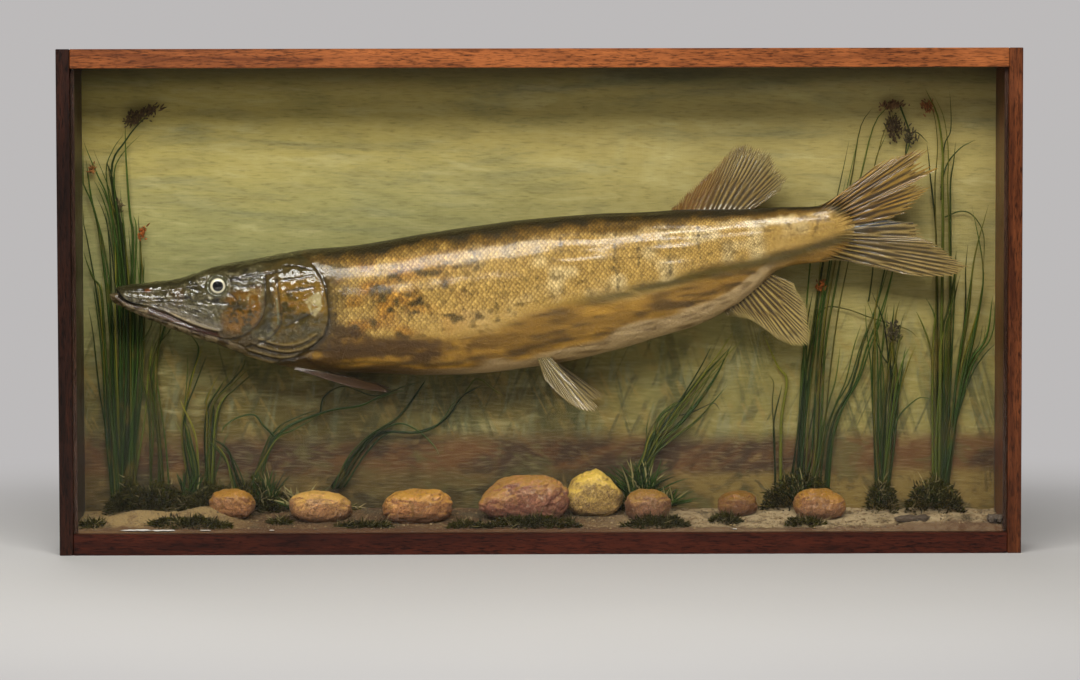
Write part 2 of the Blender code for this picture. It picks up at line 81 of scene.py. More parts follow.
# Name, place, size both ways, power and colour.
LAMPS = (("soft_box", SOFT_BOX_PLACE, (3.2, 0.9), 105.0, (1.0, 0.98, 0.95)),
         ("front_fill", (0.9, -3.4, 2.6), (2.0, 1.4), 16.0, (1.0, 0.98, 0.96)),
         ("window", (-0.7, -3.9, 1.10), (0.36, 0.36), 5.0, (0.96, 0.98, 1.0)),
         ("rear_fill", (-0.8, 3.6, 2.0), (3.0, 1.6), 40.0, (1.0, 0.98, 0.96)))
WALL_COLOUR = (0.505, 0.490, 0.490)
ROOM_LIGHT = 0.17       # share of the wall's light that falls on the case

camera = bpy.data.objects.new("camera", bpy.data.cameras.new("camera"))
camera.data.lens = CAMERA_LENS
camera.data.sensor_width = 36.0
camera.matrix_world = (Matrix.Translation(CAMERA_PLACE) @ Matrix.Rotation(CAMERA_TURN, 4, "Z")
                       @ Matrix.Rotation(CAMERA_TILT, 4, "X") @ Matrix.Rotation(CAMERA_ROLL, 4, "Z"))
bpy.context.scene.collection.objects.link(camera)
bpy.context.scene.camera = camera
bpy.context.scene.view_settings.view_transform = "Standard"


def lamp(name, place, size, power, colour):
    """Hang a rectangular lamp at a place, facing the middle of the case."""
    data = bpy.data.lights.new(name, "AREA")
    data.shape = "RECTANGLE"
    data.size, data.size_y = size
    data.energy = power
    data.color = colour
    made = bpy.data.objects.new(name, data)
    facing = (Vector(CASE_MIDDLE) - Vector(place)).to_track_quat("-Z", "Y")
    made.matrix_world = Matrix.Translation(place) @ facing.to_matrix().to_4x4()
    bpy.context.scene.collection.objects.link(made)


def piece(name, points, faces, material=None, smooth=True):
    """Make a mesh object from an array of points and arrays of faces, one array per kind of face.

    If the space that the faces enclose comes out negative, they are turned to point outwards."""
    points = np.asarray(points, float).reshape(-1, 3)
    faces = [np.asarray(group).reshape(-1, np.shape(group)[-1]) for group in faces]
    enclosed = sum(np.einsum("ij,ij->", points[g[:, 0]], np.cross(points[g[:, i]], points[g[:, i + 1]]))
                   for g in faces for i in range(1, g.shape[1] - 1))
    if enclosed < 0:
        faces = [group[:, ::-1] for group in faces]
    sides = np.concatenate([np.full(len(group), group.shape[1]) for group in faces])
    mesh = bpy.data.meshes.new(name)
    mesh.vertices.add(len(points))
    mesh.vertices.foreach_set("co", points.ravel())
    mesh.loops.add(int(sides.sum()))
    mesh.loops.foreach_set("vertex_index", np.concatenate([group.ravel() for group in faces]))
    mesh.polygons.add(len(sides))
    mesh.polygons.foreach_set("loop_start", np.cumsum(sides) - sides)
    mesh.update(calc_edges=True)
    mesh.polygons.foreach_set("use_smooth", np.full(len(sides), smooth))
    made = bpy.data.objects.new(name, mesh)
    if material:
        mesh.materials.append(material)
    bpy.context.scene.collection.objects.link(made)
    return made


class Finish:
    """A node material in the making. Each method adds a node and gives back its output."""

    def __init__(self, name):
        """An empty material of this name."""
        self.material = bpy.data.materials.new(name)
        self.material.use_nodes = True
        self.tree = self.material.node_tree
        self.tree.nodes.clear()

    def add(self, kind, inputs=None, **settings):
        """A node of a kind; its inputs are joined where they are sockets and set where they are not."""
        made = self.tree.nodes.new("ShaderNode" + kind)
        for key, value in settings.items():
            setattr(made, key, value)
        for key, value in (inputs or {}).items():
            if isinstance(value, bpy.types.NodeSocket):
                self.tree.links.new(value, made.inputs[key])
            else:
                made.inputs[key].default_value = value
        return made

    def place(self, scale=(1, 1, 1), turn=(0, 0, 0)):
        """The piece's own coordinates, turned and then stretched."""
        here = self.add("TexCoord").outputs["Object"]
        turned = self.add("Mapping", {"Vector": here, "Rotation": turn}).outputs[0]
        return self.add("Mapping", {"Vector": turned, "Scale": scale}).outputs[0]

    def noise(self, where, scale=1.0, detail=3.0, roughness=0.5, distortion=0.0):
        """Cloudy values from 0 to 1."""
        return self.add("TexNoise", {"Vector": where, "Scale": scale, "Detail": detail,
                                     "Roughness": roughness, "Distortion": distortion}).outputs[0]

    def between(self, value, low, high):
        """0 below low, 1 above high, eased between."""
        return self.add("MapRange", {"Value": value, "From Min": low, "From Max": high},
                        interpolation_type="SMOOTHSTEP").outputs[0]

    def sum(self, first, second, way="ADD"):
        """Two values joined by a sum, a product or another rule."""
        return self.add("Math", {0: first, 1: second}, operation=way).outputs[0]

    def times(self, first, second):
        """The product of two values."""
        return self.sum(first, second, "MULTIPLY")

    def mix(self, amount, first, second, way="MIX"):
        """Two colours mixed."""
        colours = [tuple(c) + (1,) if isinstance(c, tuple) else c for c in (first, second)]
        return self.add("Mix", {0: amount, 6: colours[0], 7: colours[1]},
                        data_type="RGBA", blend_type=way).outputs[2]

    def coats(self, base, *laid):
        """Colours laid over a base in turn, each by a mask, or by a share of it if one is given."""
        for paint, mask, *share in laid:
            base = self.mix(self.times(mask, share[0]) if share else mask, base, paint)
        return base

    def own_colour(self, name):
        """The colour that the piece keeps for each of its points."""
        return self.add("Attribute", attribute_name=name).outputs["Color"]

    def bump(self, height, distance, below=None):
        """A surface shaded as if it were raised by a height of 0 to 1 times a distance."""
        inputs = {"Height": height, "Distance": distance}
        if below:
            inputs["Normal"] = below
        return self.add("Bump", inputs).outputs[0]

    def done(self, colour, normal=None, **values):
        """Close the material with the shader, and give it back."""
        inputs = {key.replace("_", " ").title().replace("Ior", "IOR"): value for key, value in values.items()}
        inputs["Base Color"] = tuple(colour) + (1,) if isinstance(colour, tuple) else colour
        shader = self.add("BsdfPrincipled", inputs)
        if normal:
            self.tree.links.new(normal, shader.inputs["Normal"])
        out = self.add("OutputMaterial", {"Surface": shader.outputs[0]})
        return self.material, shader, out


def floor_finish():
    """Pale matt paper, very slightly clouded, that runs into the pale wall further off."""
    f = Finish("floor_paper")
    here = f.place()
    cloud = f.noise(here, 1.5)
    material, shader, out = f.done(f.mix(cloud, (0.60, 0.59, 0.57), (0.66, 0.65, 0.63)), roughness=0.8)
    off = f.add("VectorMath", {0: here}, operation="LENGTH").outputs["Value"]
    wall = f.add("Emission", {"Color": WALL_COLOUR + (1,), "Strength": 1.0}).outputs["Emission"]
    seen = f.add("LightPath").outputs["Is Camera Ray"]
    far = f.times(f.between(off, 0.60, 1.6), seen)
    joined = f.add("MixShader", {0: far, 1: shader.outputs["BSDF"], 2: wall}).outputs["Shader"]
    f.tree.links.new(joined, out.inputs["Surface"])
    return material


floor_corners = [(x * FLOOR_REACH, y * FLOOR_REACH, 0) for x, y in ((-1, -1), (1, -1), (1, 1), (-1, 1))]
floor = piece("floor", floor_corners, [[(0, 1, 2, 3)]], floor_finish())

for lamp_values in LAMPS:
    lamp(*lamp_values)
world = bpy.data.worlds.new("studio")
world.use_nodes = True
world_nodes = world.node_tree.nodes
background = world_nodes["Background"]
background.inputs["Color"].default_value = WALL_COLOUR + (1,)
in_view = world_nodes.new("ShaderNodeLightPath")
strength = world_nodes.new("ShaderNodeMapRange")
strength.inputs["To Min"].default_value = ROOM_LIGHT
strength.inputs["To Max"].default_value = 1.0
world.node_tree.links.new(in_view.outputs["Is Camera Ray"], strength.inputs["Value"])
world.node_tree.links.new(strength.outputs["Result"], background.inputs["Strength"])
bpy.context.scene.world = world


# ------------------------------------------------------------ case boards, rails and beads
# The case is mahogany: thin boards nailed at the corners, with a rail planted along the top
# and the bottom of the front and a small bead inside that holds the glass. The wood is old,
# polished and dark; the top rail and the right side are coloured lighter, a warm red brown.
# Each board or rail: name of its finish, the way its grain runs, dark and light tone, roughness,
# how much more of it is paler, and the solids it is made of.
BOARDS = (
    ("top", "x", (0.135, 0.037, 0.011), (0.385, 0.116, 0.030), 0.36, 0.12, ("top_rail",)),
    ("lid", "x", (0.090, 0.030, 0.012), (0.260, 0.090, 0.032), 0.38, 0.0, ("top_board",)),
    ("foot", "x", (0.020, 0.005, 0.003), (0.070, 0.014, 0.006), 0.33, 0.0, ("bottom_rail", "bottom_board")),
    ("left", "z", (0.010, 0.004, 0.0025), (0.040, 0.012, 0.006), 0.33, 0.0, ("side_board_left",)),
    ("right", "z", (0.055, 0.014, 0.005), (0.190, 0.055, 0.017), 0.33, 0.0, ("side_board_right",)),
    ("bead_level", "x", (0.028, 0.012, 0.007), (0.085, 0.040, 0.022), 0.33, 0.0, ("bead_top", "bead_bottom")),
    ("bead_upright", "z", (0.028, 0.012, 0.007), (0.080, 0.038, 0.022), 0.33, 0.0,
     ("bead_left", "bead_right")),
)
LONG_FIGURE = 0.06      # how far the figure is drawn out along the run, as a share of its own size
SHORT_FIGURE = 0.13


def shaded(colour, shares):
    """A colour times a share, or each part of it times its own share, and 1 at most."""
    return tuple(np.minimum(1, np.multiply(colour, shares)))


def mahogany(name, run, dark, light, gloss, paler_share):
    """Ribbon figure, broad tone and short dark pores, all drawn out along the run of the board."""
    f = Finish("mahogany_" + name)

    def drawn(share):
        """The place in the wood, with the run of the board shortened to a share."""
        return f.place((share, 1, 1) if run == "x" else (1, 1, share))

    grain = drawn(LONG_FIGURE)
    tone = f.noise(grain, 14, 3, 0.55, 0.6)
    ribbon = f.noise(grain, 130, 4, 0.65, 0.4)
    line = f.noise(drawn(SHORT_FIGURE), 620, 3, 0.6, 0.2)
    pore = f.between(f.noise(grain, 1500, 2, 0.5), 0.60, 0.70)
    wear = f.between(f.noise(f.place(), 9, 5, 0.62), 0.52, 0.72)
    wood = f.coats(f.mix(f.between(f.sum(tone, ribbon), 0.72, 1.28), dark, light),
                   (shaded(dark, 0.5), f.between(line, 0.45, 0.70)),
                   (shaded(light, 1.25), wear, 0.30 + paler_share),
                   (shaded(dark, 0.25), pore, 0.75))
    relief = f.bump(pore, -0.00025, f.bump(line, 0.00012))
    shine = f.sum(f.times(wear, 0.12), gloss)
    return f.done(wood, relief, roughness=shine, specular_ior_level=0.14,
                  coat_weight=0.08, coat_roughness=0.16)[0]


def dress(finish, *names):
    """Give solids of the frame a finish."""
    for name in names:
        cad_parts[name].material_slots[0].material = finish


for *board, solids in BOARDS:
    dress(mahogany(*board), *solids)


# ------------------------------------------------------------ pane
# One sheet of thin old glass, held by the rails and the beads. Lamps and soft light pass
# straight through it, so that the case is as bright inside as outside.
def clear_glass():
    """Thin glass that casts no shadow."""
    f = Finish("old_glass")
    material, shader, out = f.done((0.985, 0.99, 0.98), roughness=0.0, ior=1.18, transmission_weight=1.0)
    ray = f.add("LightPath")
    through = f.sum(ray.outputs["Is Shadow Ray"], ray.outputs["Is Diffuse Ray"], "MAXIMUM")
    mixed = f.add("MixShader", {0: through, 1: shader.outputs[0],
                                2: f.add("BsdfTransparent").outputs[0]})
    f.tree.links.new(mixed.outputs[0], out.inputs["Surface"])
    return material


dress(clear_glass(), "glass_front")


# ------------------------------------------------------------ painted back
# The back is a deal board, bare behind. Inside it is lined with fine canvas, painted thinly in
# oil: streaky water in khaki and blue grey, dim leaning weed, and a brown river bed at the foot.
BED_TOP = 0.130
BED_MIDDLE = 0.088
LINING_FRONT, LINING_BACK = 0.0495, 0.0505      # depth at which canvas gives way to bare deal
# Leaning weed strokes: lean, coarseness, colour, share.
WEED = ((0.26, 1.0, (0.060, 0.062, 0.018), 0.75), (-0.14, 5.0, (0.170, 0.180, 0.100), 0.45),
        (0.48, 9.0, (0.280, 0.180, 0.045), 0.45), (-0.42, 7.0, (0.050, 0.052, 0.018), 0.60))


def painted_water():
    """Level streaks over a soft change of tone from left to right and from top to foot, then weed,
    the river bed and its dabs, a painted shadow of the top rail along the top, the weave of the
    canvas, and the bare deal of the board behind."""
    f = Finish("painted_water")
    here = f.place()
    apart = f.add("SeparateXYZ", {"Vector": here})
    across, up = apart.outputs["X"], apart.outputs["Z"]

    def strokes(width, height, turn, scale=1.0, detail=4, roughness=0.62, distortion=0.5):
        """Brush strokes: cloudy values drawn out one way and turned a little off level."""
        return f.noise(f.place((width, 1, height), (0, turn, 0)), scale, detail, roughness, distortion)

    drift = strokes(1.6, 4.5, 0, 1.0, 3, 0.5, 0.8)
    streak = strokes(2.8, 15, -0.035, 1.0, 6, 0.66, 0.7)
    broad = strokes(11, 60, -0.06, 1.0, 5)
    dapple = strokes(6, 13, -0.10, distortion=0.8)
    fine = strokes(60, 420, -0.02, roughness=0.6)
    dab = strokes(9, 15, 0.06, 1.0, 5, 0.66, 1.1)
    dab_2 = strokes(12, 16, -0.5, 1.3, 5, 0.66, 0.9)
    level = f.sum(up, f.times(drift, 0.16))
    ripple = f.sum(up, f.times(f.noise(f.place((3, 1, 14)), 1.0, 4, 0.55), 0.030))
    pale = f.mix(f.between(across, -0.50, 0.55), (0.300, 0.290, 0.110), (0.330, 0.270, 0.090))
    low = f.mix(f.between(across, -0.15, 0.45), (0.095, 0.070, 0.012), (0.265, 0.220, 0.062))
    cool = f.times(f.between(streak, 0.46, 0.72), f.between(level, 0.36, 0.50))
    warm = f.times(f.between(streak, 0.46, 0.30), f.between(level, 0.40, 0.60))
    weed_zone = f.times(f.between(up, 0.35, 0.20), f.between(up, 0.085, 0.13))
    weed = []
    for turn, coarse, colour, amount in WEED:
        blade = strokes(34 + coarse, 2.2, turn, 1.0 + 0.1 * coarse, distortion=1.1)
        patch = f.noise(f.place((4, 1, 5)), coarse, 2)
        share = f.times(f.between(blade, 0.50, 0.62), f.between(patch, 0.38, 0.52))
        weed.append((colour, f.times(share, weed_zone), amount))
    sand = f.times(f.between(across, 0.06, 0.26), f.between(dab_2, 0.62, 0.45))
    foot = f.coats(f.mix(f.between(dab, 0.40, 0.60), (0.034, 0.024, 0.008), (0.100, 0.064, 0.017)),
                   ((0.200, 0.132, 0.034), sand))
    upper = f.mix(f.between(dab, 0.40, 0.60), (0.045, 0.022, 0.010), (0.115, 0.050, 0.014))
    bed = f.coats(upper,
                  (foot, f.between(ripple, BED_MIDDLE + 0.024, BED_MIDDLE + 0.008)),
                  ((0.100, 0.088, 0.026), f.between(dab_2, 0.52, 0.66), 0.70),
                  ((0.190, 0.120, 0.036), f.between(dab_2, 0.44, 0.34), 0.60))
    weft, warp = (f.add("TexWave", {"Vector": here, "Scale": threads, "Distortion": 1.2, "Detail": 2.0,
                                    "Detail Scale": 3.0}, bands_direction=run).outputs[1]
                  for threads, run in ((190.0, "Z"), (170.0, "X")))
    cloth = f.sum(weft, warp)
    figure = f.noise(f.place((1.2, 1, 45)), 1.0, 5, 0.62, 0.7)
    deal = f.mix(f.between(figure, 0.35, 0.65), (0.105, 0.058, 0.024), (0.230, 0.140, 0.065))
    water = f.coats(
        f.mix(f.between(across, -0.60, 0.45), (0.420, 0.335, 0.090), (0.430, 0.345, 0.115)),
        (pale, f.between(level, 0.62, 0.46)),
        (low, f.between(level, 0.40, 0.26)),
        ((0.130, 0.150, 0.088), cool, 0.72),
        ((0.430, 0.340, 0.110), warm, 0.40),
        ((0.210, 0.190, 0.060), f.between(dapple, 0.50, 0.68), 0.34),
        ((0.520, 0.470, 0.210), f.between(dapple, 0.46, 0.30), 0.30),
        ((0.150, 0.140, 0.060), f.between(broad, 0.50, 0.68), 0.30),
        ((0.560, 0.500, 0.240), f.between(broad, 0.48, 0.30), 0.30),
        *weed,
        (bed, f.between(ripple, BED_TOP + 0.032, BED_TOP + 0.004)),
        ((0.50, 0.42, 0.20), f.between(fine, 0.45, 0.75), 0.20),
        ((0.060, 0.052, 0.018), f.between(fine, 0.50, 0.28), 0.30),
        ((0.05, 0.045, 0.02), f.between(f.noise(here, 260, 2, 0.6), 0.70, 0.76), 0.30),
        # painted shadow of the top rail: the top of the back is darkened
        ((0.040, 0.032, 0.016), f.between(up, 0.552, 0.588), 0.78),
        ((0.10, 0.09, 0.05), f.between(cloth, 0.9, 1.8), 0.14),
        (deal, f.between(apart.outputs["Y"], LINING_FRONT, LINING_BACK)))
    return f.done(water, f.bump(cloth, 0.00004), roughness=0.70, specular_ior_level=0.12)[0]


dress(painted_water(), "backboard")


# ------------------------------------------------------------ pegs
# Two dowels of pale wood hold the fish off the back board; the fish hides them from the front.
def turned_wood():
    """Pale, dry, close-grained wood with the grain running to the back board."""
    f = Finish("peg_wood")
    line = f.noise(f.place((1, 0.05, 1)), 500, 3, 0.6)
    return f.done(f.mix(line, (0.30, 0.19, 0.09), (0.46, 0.32, 0.17)), f.bump(line, 0.0001),
                  roughness=0.7)[0]


dress(turned_wood(), "peg_front", "peg_rear")


# ------------------------------------------------------------ groundwork
# The river bed is modelled in papier mache and plaster on the bottom board, rising a little
# to the back, then glued, sanded and painted; coarse pale grit lies thickest on the right.
ground_low, ground_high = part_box("groundwork")
INSIDE_LEFT, INSIDE_FRONT, GROUND_FOOT = ground_low
INSIDE_RIGHT, INSIDE_BACK = ground_high[:2]
GROUND_FRONT_LEVEL = 0.0285
GROUND_BACK_LEVEL = 0.0430
BED_COLUMNS, BED_ROWS = 521, 49
# Low mounds: middle across and in depth, reach both ways, height.
MOUNDS = ((-0.480, -0.018, 0.060, 0.020, 0.016), (-0.405, -0.010, 0.030, 0.018, 0.016),
          (0.500, -0.030, 0.075, 0.022, 0.011), (0.300, 0.020, 0.140, 0.030, 0.004),
          (-0.150, 0.025, 0.160, 0.030, 0.004))


def clouds(points, size, seed):
    """Smooth random values, about -1 to 1: a random value at each corner of a lattice with
    cells of the given size, eased between the eight corners round each point."""
    table = np.random.default_rng(seed).uniform(-1, 1, 8192)
    scaled = np.asarray(points, float) / size + 100.37
    cell = np.floor(scaled).astype(np.int64)
    part = scaled - cell
    part = part * part * (3 - 2 * part)
    total = np.zeros(scaled.shape[:-1])
    for corner in np.ndindex(2, 2, 2):
        at = cell + np.array(corner)
        key = (at[..., 0] * 73856093 ^ at[..., 1] * 19349663 ^ at[..., 2] * 83492791) % len(table)
        total += table[key] * np.prod(np.where(corner, part, 1 - part), axis=-1)
    return total


def ground_level(x, y):
    """Height of the bed: a slope from the front to the back, and a rounded heap at each mound."""
    share = np.clip((y - INSIDE_FRONT) / (INSIDE_BACK - INSIDE_FRONT), 0, 1)
    level = GROUND_FRONT_LEVEL + (GROUND_BACK_LEVEL - GROUND_FRONT_LEVEL) * share
    for mound_x, mound_y, reach_x, reach_y, height in MOUNDS:
        level = level + height * np.exp(-((x - mound_x) / reach_x) ** 2 - ((y - mound_y) / reach_y) ** 2)
    return level


def net(rows, columns, round_rows=False, start=0):
    """Four-sided faces between the points of a grid, and also from the last column to the
    first where the rows run round."""
    across = np.arange(columns if round_rows else columns - 1)
    here = start + np.arange(rows - 1)[:, None] * columns + across
    beside = start + np.arange(rows - 1)[:, None] * columns + (across + 1) % columns
    return np.stack([here, beside, beside + columns, here + columns], -1).reshape(-1, 4)


def fan(tip, first, columns, turned_over=False):
    """Triangles between a point and a closed ring of points, in either sense."""
    here = first + np.arange(columns)
    beside = first + (np.arange(columns) + 1) % columns
    if turned_over:
        here, beside = beside, here
    return np.stack([here, beside, np.full(columns, tip)], -1)


def tint(made, name, colours):
    """Keep a colour for each point of a piece."""
    rgba = np.concatenate([np.asarray(colours), np.ones((len(colours), 1))], 1)
    made.data.color_attributes.new(name, "FLOAT_COLOR", "POINT").data.foreach_set("color", rgba.ravel())


def bed_finish():
    """Dull paint in brown, grey and ochre patches, with sand in it."""
    f = Finish("sanded_bed")
    here = f.place()
    apart = f.add("SeparateXYZ", {"Vector": here})
    across, deep = apart.outputs["X"], apart.outputs["Y"]
    patch = f.noise(here, 16, 4, 0.6)
    patch_2 = f.noise(f.place((1, 1, 1), (0, 0, 1.0)), 27, 4, 0.6)
    grain = f.noise(here, 700, 3, 0.7)
    pale = f.sum(f.times(f.between(across, 0.02, 0.25), f.between(patch_2, 0.68, 0.48)),
                 f.times(f.between(across, -0.33, -0.42), f.between(patch_2, 0.72, 0.52)), "MAXIMUM")
    chalk = f.coats(f.mix(f.between(across, -0.2, 0.1), (0.330, 0.225, 0.090), (0.500, 0.385, 0.215)),
                    ((0.170, 0.100, 0.045), f.between(f.noise(here, 75, 5, 0.65, 0.5), 0.50, 0.64)))
    front_edge = f.between(deep, INSIDE_FRONT + 0.014, INSIDE_FRONT + 0.005)
    colour = f.coats(f.mix(f.between(patch, 0.42, 0.60), (0.058, 0.027, 0.013), (0.120, 0.062, 0.027)),
                     ((0.060, 0.047, 0.027), f.between(patch_2, 0.50, 0.66)),
                     (chalk, pale, 0.88),
                     ((0.330, 0.230, 0.110), f.between(grain, 0.48, 0.72)),
                     ((0.045, 0.032, 0.020), f.between(grain, 0.46, 0.30)),
                     ((0.105, 0.050, 0.026), front_edge, 0.75))
    return f.done(colour, f.bump(grain, 0.0006), roughness=0.9, specular_ior_level=0.1)[0]


def make_bed():
    """A fine sheet over the bed with a crust of small lumps, closed by its sides and underside."""
    x, y = np.meshgrid(np.linspace(INSIDE_LEFT, INSIDE_RIGHT, BED_COLUMNS),
                       np.linspace(INSIDE_FRONT, INSIDE_BACK, BED_ROWS))
    flat = np.stack([x, y, 0 * x], -1)
    crust = (0.0013 * clouds(flat, 0.016, 1) + (0.0009 + 0.0009 * (x > 0.1)) * clouds(flat, 0.006, 2)
             + 0.0005 * clouds(flat, 0.0025, 3))
    top = np.stack([x, y, ground_level(x, y) + crust], -1)
    rows, columns = x.shape
    rim = np.concatenate([np.arange(columns), np.arange(1, rows) * columns + columns - 1,
                          rows * columns - 2 - np.arange(columns - 1), np.arange(rows - 2, 0, -1) * columns])
    below = top.reshape(-1, 3)[rim] * (1, 1, 0) + (0, 0, GROUND_FOOT)
    feet = rows * columns + np.arange(len(rim))
    sides = np.stack([np.roll(rim, -1), rim, feet, np.roll(feet, -1)], -1)
    under = fan(rows * columns + len(rim), rows * columns, len(rim), True)
    points = np.concatenate([top.reshape(-1, 3), below, [[0, 0, GROUND_FOOT]]])
    return piece("river_bed", points, [net(rows, columns), sides, under], bed_finish())


river_bed = make_bed()
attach(river_bed, "root")
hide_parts("groundwork")


def grit_finish():
    """Dry stone grains, each with its own tone and a little dust."""
    f = Finish("dry_grit")
    dust = f.noise(f.place(), 900, 2, 0.6)
    colour = f.coats(f.own_colour("tone"), ((0.210, 0.150, 0.080), dust, 0.35))
    return f.done(colour, roughness=0.9)[0]


GRAINS = 5200
RIGHT_SHARE = 0.70      # share of the grains that lie right of the line
RIGHT_LINE = 0.02
BLUNT_GRAIN = np.array([(0, 0, 1), (1, 0, 0.25), (0.3, 0.95, -0.2), (-0.8, 0.6, 0.3), (-0.8, -0.6, -0.25),
                        (0.3, -0.95, 0.2), (0, 0, -1)])
GRAIN_FACES = np.array([(0, i, i % 5 + 1) for i in range(1, 6)] + [(6, i % 5 + 1, i) for i in range(1, 6)])


def make_grit():
    """Ten-sided grains of many sizes, each turned and squashed its own way, half sunk in the bed."""
    dice = np.random.default_rng(11)
    x = np.where(dice.random(GRAINS) < RIGHT_SHARE, dice.uniform(RIGHT_LINE, INSIDE_RIGHT - 0.004, GRAINS),
                 dice.uniform(INSIDE_LEFT + 0.004, RIGHT_LINE, GRAINS))
    y = dice.uniform(INSIDE_FRONT + 0.003, INSIDE_BACK - 0.004, GRAINS)
    places = np.stack([x, y, ground_level(x, y)], -1)
    radius = 0.0006 + 0.0015 * dice.random(GRAINS) ** 4
    turn = dice.uniform(0, 2 * np.pi, GRAINS)
    grains = BLUNT_GRAIN * dice.uniform(0.7, 1.3, (GRAINS, 1, 3)) * radius[:, None, None]
    c, s = np.cos(turn)[:, None], np.sin(turn)[:, None]
    grains = np.stack([c * grains[..., 0] - s * grains[..., 1], s * grains[..., 0] + c * grains[..., 1],
                       grains[..., 2] * 0.8], -1) + places[:, None]
    corners = len(BLUNT_GRAIN)
    faces = GRAIN_FACES + corners * np.arange(GRAINS)[:, None, None]
    made = piece("grit", grains, [faces], grit_finish(), smooth=False)
    shade = dice.random((GRAINS, 1))
    colours = (1 - shade) * (0.070, 0.038, 0.018) + shade * (0.380, 0.270, 0.120)
    tint(made, "tone", np.repeat(colours, corners, axis=0))
    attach(made, "root")


make_grit()

# Long chips of bare plaster fallen on the front bead, and bark on the right: middle, half sizes, colour.
CHIPS = ((-0.490, -0.0550, 0.0290, 0.018, 0.0012, 0.0010, (0.80, 0.78, 0.70)),
         (-0.455, -0.0552, 0.0288, 0.014, 0.0010, 0.0008, (0.80, 0.78, 0.70)),
         (-0.405, -0.0552, 0.0288, 0.007, 0.0008, 0.0006, (0.62, 0.57, 0.48)),
         (-0.325, -0.0552, 0.0288, 0.003, 0.0010, 0.0006, (0.62, 0.57, 0.48)),
         (0.235, -0.0552, 0.0288, 0.003, 0.0008, 0.0006, (0.62, 0.57, 0.48)),
         (0.455, -0.0410, 0.0400, 0.020, 0.0050, 0.0040, (0.028, 0.017, 0.010)),
         (0.440, -0.0440, 0.0390, 0.012, 0.0030, 0.0030, (0.040, 0.024, 0.014)),
         (0.5515, -0.0470, 0.0400, 0.0090, 0.0055, 0.0055, (0.045, 0.032, 0.024)))
CHIP_RINGS, CHIP_SIDES = 12, 8


def make_chips():
    """Each chip is a rough slab of twelve rings, drawn to a ragged end on both sides."""
    size = CHIP_RINGS * CHIP_SIDES
    along, turn = np.meshgrid(np.linspace(-1, 1, CHIP_RINGS),
                              np.linspace(0, 2 * np.pi, CHIP_SIDES, endpoint=False), indexing="ij")
    full = np.sqrt(np.clip(1 - along ** 6, 0, 1))
    points, tones = [], []
    for number, (x, y, z, half_length, half_depth, half_height, colour) in enumerate(CHIPS):
        form = np.stack([along * half_length, full * half_depth * np.cos(turn),
                         full * half_height * np.sin(turn)], -1)
        ragged = 1 + 0.45 * clouds(form + number, 0.0025, 45)
        points.append((form * ragged[..., None] + (x, y, z)).reshape(-1, 3))
        tones.append(np.broadcast_to(colour, (size, 3)) * (0.85 + 0.25 * ragged.reshape(-1, 1)))
    faces = net(CHIP_RINGS, CHIP_SIDES, True) + size * np.arange(len(CHIPS))[:, None, None]
    made = piece("chips", np.concatenate(points), [faces], grit_finish(), smooth=False)
    tint(made, "tone", np.concatenate(tones))
    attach(made, "root")


make_chips()


# ------------------------------------------------------------ stones
# Eight modelled stones of painted plaster lie in a row on the bed. Their tops are brushed
# with ochre, and the fronts are pinkish, with a fine net of cracks in the paint.
# Middle across and in depth, half length, half depth, top; then how far the top leans,
# how pointed it is, and the colours of top and front.
STONES = (
    (-0.376, -0.002, 0.029, 0.021, 0.075, -0.15, 0.10, (0.330, 0.158, 0.026), (0.390, 0.190, 0.055)),
    (-0.269, -0.004, 0.040, 0.025, 0.072, 0.00, 0.00, (0.540, 0.305, 0.085), (0.500, 0.262, 0.080)),
    (-0.150, -0.010, 0.044, 0.025, 0.075, 0.10, 0.00, (0.430, 0.215, 0.042), (0.450, 0.210, 0.058)),
    (-0.018, -0.006, 0.056, 0.027, 0.092, 0.12, 0.12, (0.350, 0.180, 0.048), (0.320, 0.135, 0.060)),
    (0.066, 0.016, 0.035, 0.023, 0.096, -0.12, 0.42, (0.640, 0.420, 0.085), (0.540, 0.375, 0.090)),
    (0.132, -0.006, 0.030, 0.021, 0.074, -0.10, 0.10, (0.270, 0.140, 0.030), (0.300, 0.150, 0.055)),
    (0.242, 0.008, 0.027, 0.018, 0.069, 0.00, 0.10, (0.185, 0.088, 0.014), (0.225, 0.105, 0.032)),
    (0.341, -0.002, 0.034, 0.022, 0.074, -0.05, 0.00, (0.310, 0.150, 0.022), (0.380, 0.190, 0.062)),
)
FRONT_WARMTH = (1.25, 1.15, 1.50)
TOP_WARMTH = (1.04, 1.06, 0.82)
STONE_RINGS, STONE_COLUMNS = 61, 120
BLUNTNESS = 0.82
SMOOTH_STONES = (2, 5)


